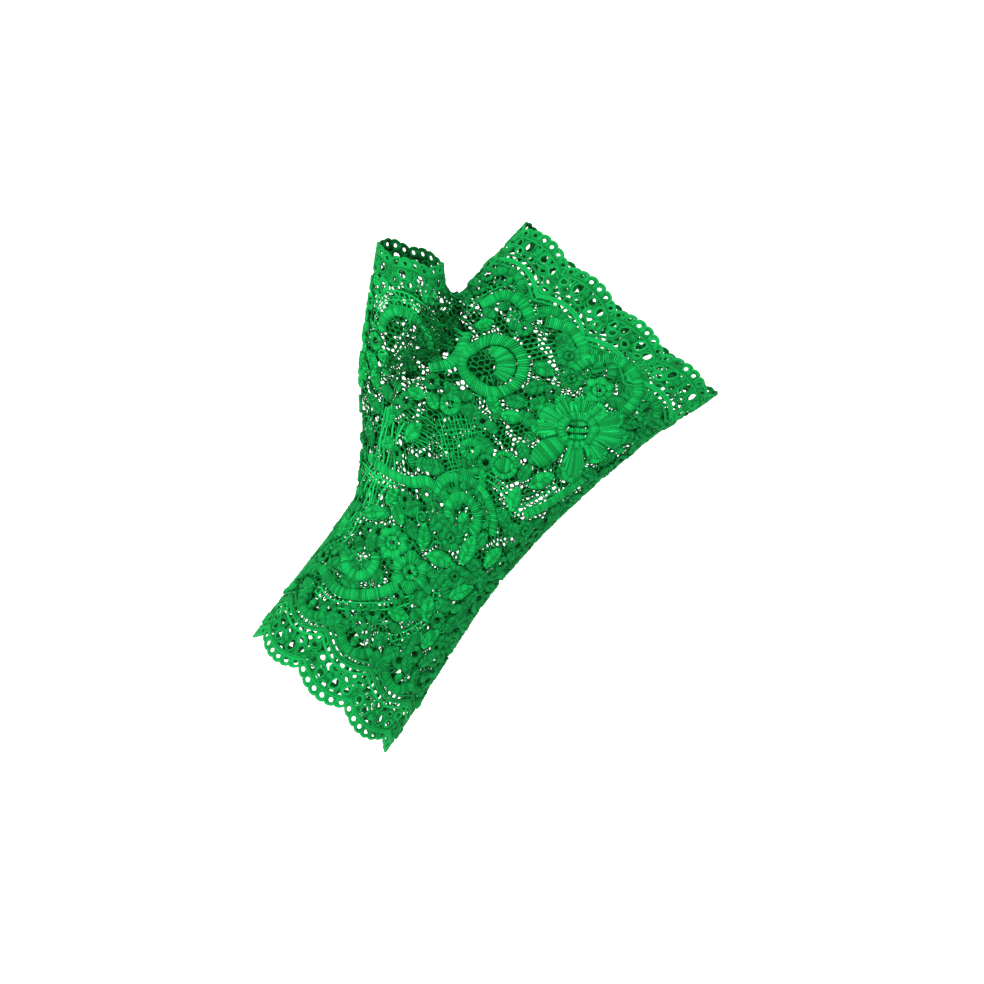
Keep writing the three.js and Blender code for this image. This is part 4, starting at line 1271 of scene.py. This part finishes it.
# Ladders: places as seen from in front of the palm, and width.
LADDERS = (
    (((-23.4, 26.9), (-16.9, 26.4), (-8.0, 32.7), (-1.6, 38.8), (2.5, 45.5)), 2.0),
    (
        ((-47.6, 124.9), (-45.9, 133.8), (-42.2, 142.0), (-35.2, 143.2), (-29.0, 140.6), (-23.7, 145.2)),
        1.9,
    ),
    (((-10.2, 129.2), (-7.2, 137.6), (-4.4, 143.4)), 1.9),
    (((-12.6, 70.2), (-15.6, 76.8), (-13.6, 84.4), (-6.4, 90.0), (2.0, 90.6), (9.4, 86.8)), 1.9),
    (((9.4, 88.7), (12.2, 95.9), (13.6, 102.9)), 1.8),
    (((-39.4, 66.2), (-32.5, 66.1), (-24.1, 68.9)), 1.8),
    (((-31.5, 35.0), (-27.5, 44.0), (-28.6, 53.0), (-32.0, 62.0)), 1.8),
    (((5.4, 30.5), (9.2, 37.2), (10.0, 45.0), (6.0, 53.0)), 1.8),
)

# The gathered threads below the thumb's seam: the first one's places, how many, and their step.
GATHERED = np.array([(-45.0, 86.0), (-40.5, 77.0), (-36.0, 68.5), (-33.0, 58.0), (-31.5, 46.0)])
GATHERS = 6
GATHER_STEP = 1.5


def draw_gathers(work):
    """Long wavy threads, of which each second one is shorter."""
    for k in range(GATHERS):
        line = GATHERED[: 5 - k % 2] + np.array([GATHER_STEP * k, 0.0])
        spot, path = trace(line, False, 0.5, 16)
        wobble = 0.55 * np.sin(np.linspace(0, 9, 16) + k * 1.7)
        cord(work, spot, beside(path, wobble), 0.36, GROUND_LIFT + 0.3, 6)


def draw_ladders(work, back):
    """The hatched places and the rows of square holes, on the palm or on the back."""
    middle = place(-19.0, 94.0, 0, back)
    hatch(work, middle, 0, 0, 26, 15, -38, 1.15)
    hatch(work, middle, 1.5, -1.5, 19, 19, 47, 1.45, 0.18)
    hatch(work, place(-33.0, 87.5, 0, back), 0, 0, 17, 11, 8, 1.1)
    hatch(work, place(-19.0, 131.0, 0, back), 0, 0, 16, 9, 60, 1.5)
    if not back:
        draw_gathers(work)
    for points, width in LADDERS:
        spot, path = trace(points, back, 0.8)
        ladder(work, spot, path, width)


# Quiet places, seen from the front, where the net stays bare: x, z and radius.
QUIET = (
    (-30.0, 116.5, 3.0),
    (-22.0, 92.0, 8.5),
    (-31.0, 87.0, 7.0),
    (-20.0, 131.0, 8.0),
    (-9.0, 104.5, 6.0),
    (-38.0, 112.0, 2.0),
    (-26.0, 51.5, 2.6),
    (-9.5, 45.5, 2.4),
    (-27.5, 75.0, 2.6),
    (-5.0, 68.5, 2.6),
    (8.0, 78.5, 2.6),
    (-14.0, 119.0, 3.0),
    (-35.0, 131.5, 2.4),
    (-21.0, 26.0, 2.4),
    (6.0, 52.0, 2.2),
)


CURL_TURNS = 1.4


def curl(threads, spot, radius):
    """A thick cord wound into a spiral."""
    a = np.linspace(0, TURN * CURL_TURNS, 16)
    r = radius * (0.25 + 0.75 * a / a[-1])
    cord(threads, spot, np.stack([np.cos(a) * r, np.sin(a) * r], -1), 0.42, WORK_LIFT + 0.1)
    blob(threads, spot, 0, 0, 1.8, 1.4, 0, 0.5)


def fill(work, chart, free, low, high, tries):
    """Small leaves, rings, flowers and curls in the places that the large motifs leave free."""
    for _ in range(tries):
        s = low[0] + chance.random() * (high[0] - low[0])
        v = low[1] + chance.random() * (high[1] - low[1])
        kind = chance.random()
        reach = 3.2 if kind > 0.86 else (2.4 if kind < 0.5 else 1.8)
        if not free(s, v, reach) or chart.near_work(s, v, reach):
            continue
        spot = Spot(chart, s, v, chance.random() * 360)
        chart.cover(s, v, reach * 0.82)
        size = 0.9 + 0.3 * chance.random()
        if kind < 0.5:
            leaf(work, spot, (-3.3 * size, 0), (3.3 * size, 0), 3.8 * size, 0.5, 3, 4)
        elif kind < 0.68:
            ring(work, spot, 0, 0, 1.75 * size, 1.5, 0.4)
        elif kind < 0.8:
            blob(work, spot, 0, 0, 4.0 * size, 3.0 * size, 0, 0.45)
        elif kind < 0.86:
            curl(work, spot, 2.0 * size)
        else:
            flower(work, spot, 0, 0, 3.8 * size, 6, 1.3, 0, 0.5)


def brides(work, chart, free, low, high, count):
    """Short thick threads that wander over the net from motif to motif."""
    for _ in range(count):
        s = low[0] + chance.random() * (high[0] - low[0])
        v = low[1] + chance.random() * (high[1] - low[1])
        if not free(s, v, 1.0):
            continue
        spot = Spot(chart, s, v, chance.random() * 360)
        long = 2.5 + 3.5 * chance.random()
        along = np.linspace(-long / 2, long / 2, 5)
        bend = (chance.random() - 0.5) * 2.4 * (1 - (2 * along / long) ** 2)
        cord(work, spot, np.stack([along, bend], -1), 0.26 + 0.14 * chance.random(), GROUND_LIFT + 0.2, 4)


def hem_shells(work, hem, d, radius, width):
    """A satin arch inside each scallop of a hem."""
    for k in range(hem["count"]):
        s = ((k + 0.5 - hem["phase"]) / hem["count"]) % 1.0
        v = float(hem_height(hem, s, d + radius))
        spot = Spot(hand, s, v, 0 if hem["way"] > 0 else 180)
        satin_band(work, spot, arc(0, 0, radius, 22, 158, 16), width, 0.75, 0.24)
        blob(work, spot, 0, radius * 0.5, 3.0, 2.0, 90, 0.5)
        hand.cover(s, v + hem["way"] * radius * 0.7, radius * 0.55)


def free_hand(back):
    """Tells whether a motif of some reach may be put at a place on one side of the hand."""
    bare = [] if back else [(hand.find(x, z), z, radius) for x, z, radius in QUIET]

    def free(s, v, reach):
        inside = v + reach < hem_height(FINGER, s, 14.5) and v - reach > hem_height(WRIST, s, 16.5)
        own = seam_side(hand.mix(hand.places, s, v)) > reach * 0.6
        quiet = any(((s - q[0]) * hand.around) ** 2 + (v - q[1]) ** 2 < (q[2] + 1) ** 2 for q in bare)
        return inside and own and not quiet

    return free


# The bare patch of net on the thumb: its place and radius. Its twin on the back has s half a turn on.
PATCH_S = 0.24
PATCH_V = 26.0
PATCH_RADIUS = 6.5


def free_thumb(s, v, reach):
    away = ((s - PATCH_S) * thumb.around) ** 2 + (v - PATCH_V) ** 2
    own = seam_side(thumb.mix(thumb.places, s, v)) < -reach * 0.6
    return v - reach > 9.0 and own and away >= (PATCH_RADIUS + reach) ** 2


palm_work = Threads("palm_work")
back_work = Threads("back_work")
thumb_work = Threads("thumb_work")
palm_fill = Threads("palm_fill")
back_fill = Threads("back_fill")
palm_net = Threads("palm_net")
back_net = Threads("back_net")
thumb_net = Threads("thumb_net")
finger_lace = Threads("finger_lace")
wrist_lace = Threads("wrist_lace")
thumb_lace = Threads("thumb_lace")

# The hand's motifs come first, because the filling and the net keep off them.
hem_shells(finger_lace, FINGER, 15.2, 6.4, 2.6)
hem_shells(wrist_lace, WRIST, 17.0, 6.8, 2.6)
for work, filling, back in ((palm_work, palm_fill, False), (back_work, back_fill, True)):
    draw_side(work, back)
    draw_ladders(work, back)
    low, high = ((0.5, 19.0), (1.0, 146.0)) if back else ((0.0, 19.0), (0.5, 146.0))
    free = free_hand(back)
    fill(filling, hand, free, low, high, 3000)
    brides(filling, hand, free, low, high, 520)


def draw_thumb(work):
    """The thumb's arcs over its bare patch of net, and its filling."""
    for s in (PATCH_S, PATCH_S + 0.5):
        patch = Spot(thumb, s, PATCH_V)
        satin_band(work, patch, arc(0, 0, 8.6, 175, 365, 24), 2.2, 0.6, 0.26)
        ladder(work, patch, arc(0, 0, 11.2, 178, 362, 30), 1.9)
        ladder(work, patch, arc(0, 0, 14.0, 200, 340, 30), 1.8)
        patch.keep_clear(arc(0, 0, 8.8, 180, 360, 14), 1.2)
        patch.keep_clear(arc(0, 0, 12.4, 190, 350, 14), 1.8)
    fill(work, thumb, free_thumb, (0.0, 8.0), (1.0, 60.0), 1500)
    brides(work, thumb, free_thumb, (0.0, 8.0), (1.0, 60.0), 260)


# Gathered cords along the thumb's seam: distance from it, wave, and the s where each one ends.
SEAM_CORDS = ((-2.6, 0.4, 0.48), (2.4, 0.4, 0.45), (3.6, 0.5, 0.4))


def draw_seam(work, net):
    """Gathered threads, a row of holes and small motifs along the thumb's seam and over its web."""
    spot = Spot(seam, 0.3, 0.0)
    for k, (v, wave, end) in enumerate(SEAM_CORDS):
        along = np.linspace(0.17, end, 30)
        path = np.stack([(along - spot.s) * spot.rate_s, v + wave * np.sin(along * 60 + k * 2.1)], -1)
        cord(net, spot, path, 0.38, GROUND_LIFT + 0.35)
    along = np.linspace(0.16, 0.47, 30)
    middle = np.stack([(along - spot.s) * spot.rate_s, 0.3 * np.sin(along * 25)], -1)
    ladder(work, spot, middle, 1.9)
    spot.keep_clear(middle[::2], 1.4)

    def free(s, v, reach):
        return bool(on_seam(seam.mix(seam.places, s, v), 2.6, -reach * 0.4))

    fill(work, seam, free, (0.13, 0.0), (0.43, 11.0), 60)
    brides(work, seam, free, (0.13, 0.0), (0.43, 11.0), 14)


draw_thumb(thumb_work)
draw_seam(thumb_work, thumb_net)

hem_edge(finger_lace, hand, FINGER, 6, 3.1)
hem_openwork(finger_lace, hand, FINGER)
hem_rows(finger_lace, hand, FINGER, (11.0, 13.6), 1.7, 2.1)
hem_edge(wrist_lace, hand, WRIST, 6, 3.2, 1.25)
hem_openwork(wrist_lace, hand, WRIST, 1.15)
hem_rows(wrist_lace, hand, WRIST, (12.4, 15.2), 1.8, 2.3)
hem_edge(thumb_lace, thumb, THUMB, 4, 3.0)
hem_openwork(thumb_lace, thumb, THUMB, 0.95, THUMB_OPENWORK)

# How far the nets of the hand and of the thumb reach past the seam's plane.
FACE_MARGIN = 0.35
HAND_NET_LOW = 12.0
HAND_NET_HIGH = 152.0


def on_hand(s, v):
    """Whether the hand's net has threads at places: between the hems, off the thumb and motifs."""
    inside = (v < hem_height(FINGER, s, 14.2)) & (v > hem_height(WRIST, s, 16.0))
    at = hand.mix(hand.places, s, v)
    own = (seam_side(at) > -FACE_MARGIN) & ~on_seam(at, -6, -0.5)
    return inside & own & ~hand.near_work(s, v, 0.0, True)


def on_palm(s, v):
    return on_hand(s, v) & ((s % 1.0) < 0.5)


def on_back(s, v):
    return on_hand(s, v) & ((s % 1.0) >= 0.5)


net_ground(palm_net, hand, HAND_NET_LOW, HAND_NET_HIGH, on_palm)
net_ground(back_net, hand, HAND_NET_LOW, HAND_NET_HIGH, on_back, NET * 1.15, 1.0)


def on_thumb(s, v):
    """Whether the thumb's net has threads at places, likewise."""
    at = thumb.mix(thumb.places, s, v)
    own = (seam_side(at) < FACE_MARGIN) & ~on_seam(at, -2.6)
    return own & (v > hem_height(THUMB, s, 7.0)) & ~thumb.near_work(s, v, 0.0, True)


def on_web(s, v):
    """Whether the net over the web has threads at places."""
    return on_seam(seam.mix(seam.places, s, v), -3.2, 0.4)


net_ground(thumb_net, thumb, 6.0, THUMB_SPAN - 4, on_thumb)
net_ground(thumb_net, seam, -7.0, 11.0, on_web)

# The model's raised motifs, which have a node each on the palm and on the back.
MOTIFS = (
    "medallion", "flower_centre", "shell_arc", "horseshoe", "fan_arc", "small_ring", "crescent",
    "scroll", "petals", "daisy", "disc", "leaf", "wrist_leaf",
)


def motifs(side):
    return tuple(side + name for name in MOTIFS)


# Each piece's cotton, its slot and the nodes that it stands for.
PIECES = (
    (palm_net, NET_COTTON, "net", ("hand_sleeve",)),
    (back_net, NET_COTTON, "net", ()),
    (thumb_net, NET_COTTON, "net", ("thumb_sleeve",)),
    (finger_lace, HEM_COTTON, "hem", ("finger_hem",)),
    (wrist_lace, HEM_COTTON, "hem", ("wrist_hem",)),
    (thumb_lace, HEM_COTTON, "hem", ("thumb_hem",)),
    (palm_work, SATIN_COTTON, "satin", motifs("palm_")),
    (back_work, SATIN_COTTON, "satin", motifs("back_")),
    (thumb_work, SATIN_COTTON, "satin", ()),
    (palm_fill, FILL_COTTON, "satin", ()),
    (back_fill, FILL_COTTON, "satin", ()),
)
for threads, material, slot, nodes in PIECES:
    piece = threads.mesh(material)
    if nodes:
        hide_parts(*nodes)
    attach(piece, "root")

# The studio, in metres: a pale floor that curves up into a background, and two large soft lights.
# The world shines less on the lace than it shows to the camera.
WORLD_SEEN = 1.0
WORLD_SHINE = 0.42
FLOOR = -0.14
FLOOR_HALF = 3.0
BEND_START = 0.5
BEND_RADIUS = 0.5
LIGHT_AIM = Vector((0, 0, 0.08))


def make_world():
    world = bpy.data.worlds.new("studio")
    world.use_nodes = True
    nodes = world.node_tree.nodes
    links = world.node_tree.links
    seen = nodes.new("ShaderNodeLightPath")
    level = nodes.new("ShaderNodeMath")
    level.operation = "MULTIPLY_ADD"
    level.inputs[1].default_value = WORLD_SEEN - WORLD_SHINE
    level.inputs[2].default_value = WORLD_SHINE
    links.new(seen.outputs["Is Camera Ray"], level.inputs[0])
    links.new(level.outputs[0], nodes["Background"].inputs[1])
    nodes["Background"].inputs[0].default_value = (1, 1, 1, 1)
    return world


def soft_light(name, stand, size, power):
    data = bpy.data.lights.new(name, "AREA")
    data.size = size
    data.energy = power
    made = bpy.data.objects.new(name, data)
    made.location = stand
    made.rotation_euler = (LIGHT_AIM - Vector(stand)).to_track_quat("-Z", "Y").to_euler()
    bpy.context.scene.collection.objects.link(made)


def floor_profile():
    """The floor seen from the side: (y, z) from its front edge to its top behind the mitten."""
    bend = np.radians(np.linspace(0, 90, 13))
    profile = [(-FLOOR_HALF, FLOOR)]
    for a in bend:
        y = BEND_START + BEND_RADIUS * math.sin(a)
        profile.append((y, FLOOR + BEND_RADIUS - BEND_RADIUS * math.cos(a)))
    profile.append((BEND_START + BEND_RADIUS, FLOOR_HALF))
    return profile


def make_floor():
    profile = floor_profile()
    corners = [(x, y, z) for y, z in profile for x in (-FLOOR_HALF, FLOOR_HALF)]
    quads = [(2 * k, 2 * k + 1, 2 * k + 3, 2 * k + 2) for k in range(len(profile) - 1)]
    sheet = bpy.data.meshes.new("floor")
    sheet.from_pydata(corners, [], quads)
    sheet.shade_smooth()
    pale = bpy.data.materials.new("pale floor")
    pale.use_nodes = True
    shader = pale.node_tree.nodes["Principled BSDF"]
    shader.inputs["Base Color"].default_value = (0.93, 0.93, 0.93, 1)
    shader.inputs["Roughness"].default_value = 0.9
    shader.inputs["Emission Color"].default_value = (1, 1, 1, 1)
    shader.inputs["Emission Strength"].default_value = 0.62
    sheet.materials.append(pale)
    floor = bpy.data.objects.new("floor", sheet)
    bpy.context.scene.collection.objects.link(floor)
    return floor


bpy.context.scene.view_settings.view_transform = "Standard"
bpy.context.scene.world = make_world()
soft_light("key light", (-0.8, -0.9, 1.1), 0.4, 22)
soft_light("fill light", (0.9, -0.9, 0.2), 0.8, 4)
floor = make_floor()

# The camera looks squarely at the palm and is rolled as in the photo: the degrees that it is rolled,
# the place (x, z) that it looks at, and its distance.
CAMERA_ROLL = math.radians(41)
CAMERA_AIM = (-0.001, 0.0876)
CAMERA_DISTANCE = 1.2
right = Vector((math.cos(CAMERA_ROLL), 0, math.sin(CAMERA_ROLL)))
up = Vector((-math.sin(CAMERA_ROLL), 0, math.cos(CAMERA_ROLL)))
turn = Matrix((right, up, right.cross(up))).transposed()
stand = Vector((CAMERA_AIM[0], -CAMERA_DISTANCE, CAMERA_AIM[1]))
camera = bpy.data.objects.new("camera", bpy.data.cameras.new("camera"))
camera.data.lens = 134
camera.data.sensor_width = 36
camera.matrix_world = Matrix.Translation(stand) @ turn.to_4x4()
bpy.context.scene.collection.objects.link(camera)
bpy.context.scene.camera = camera
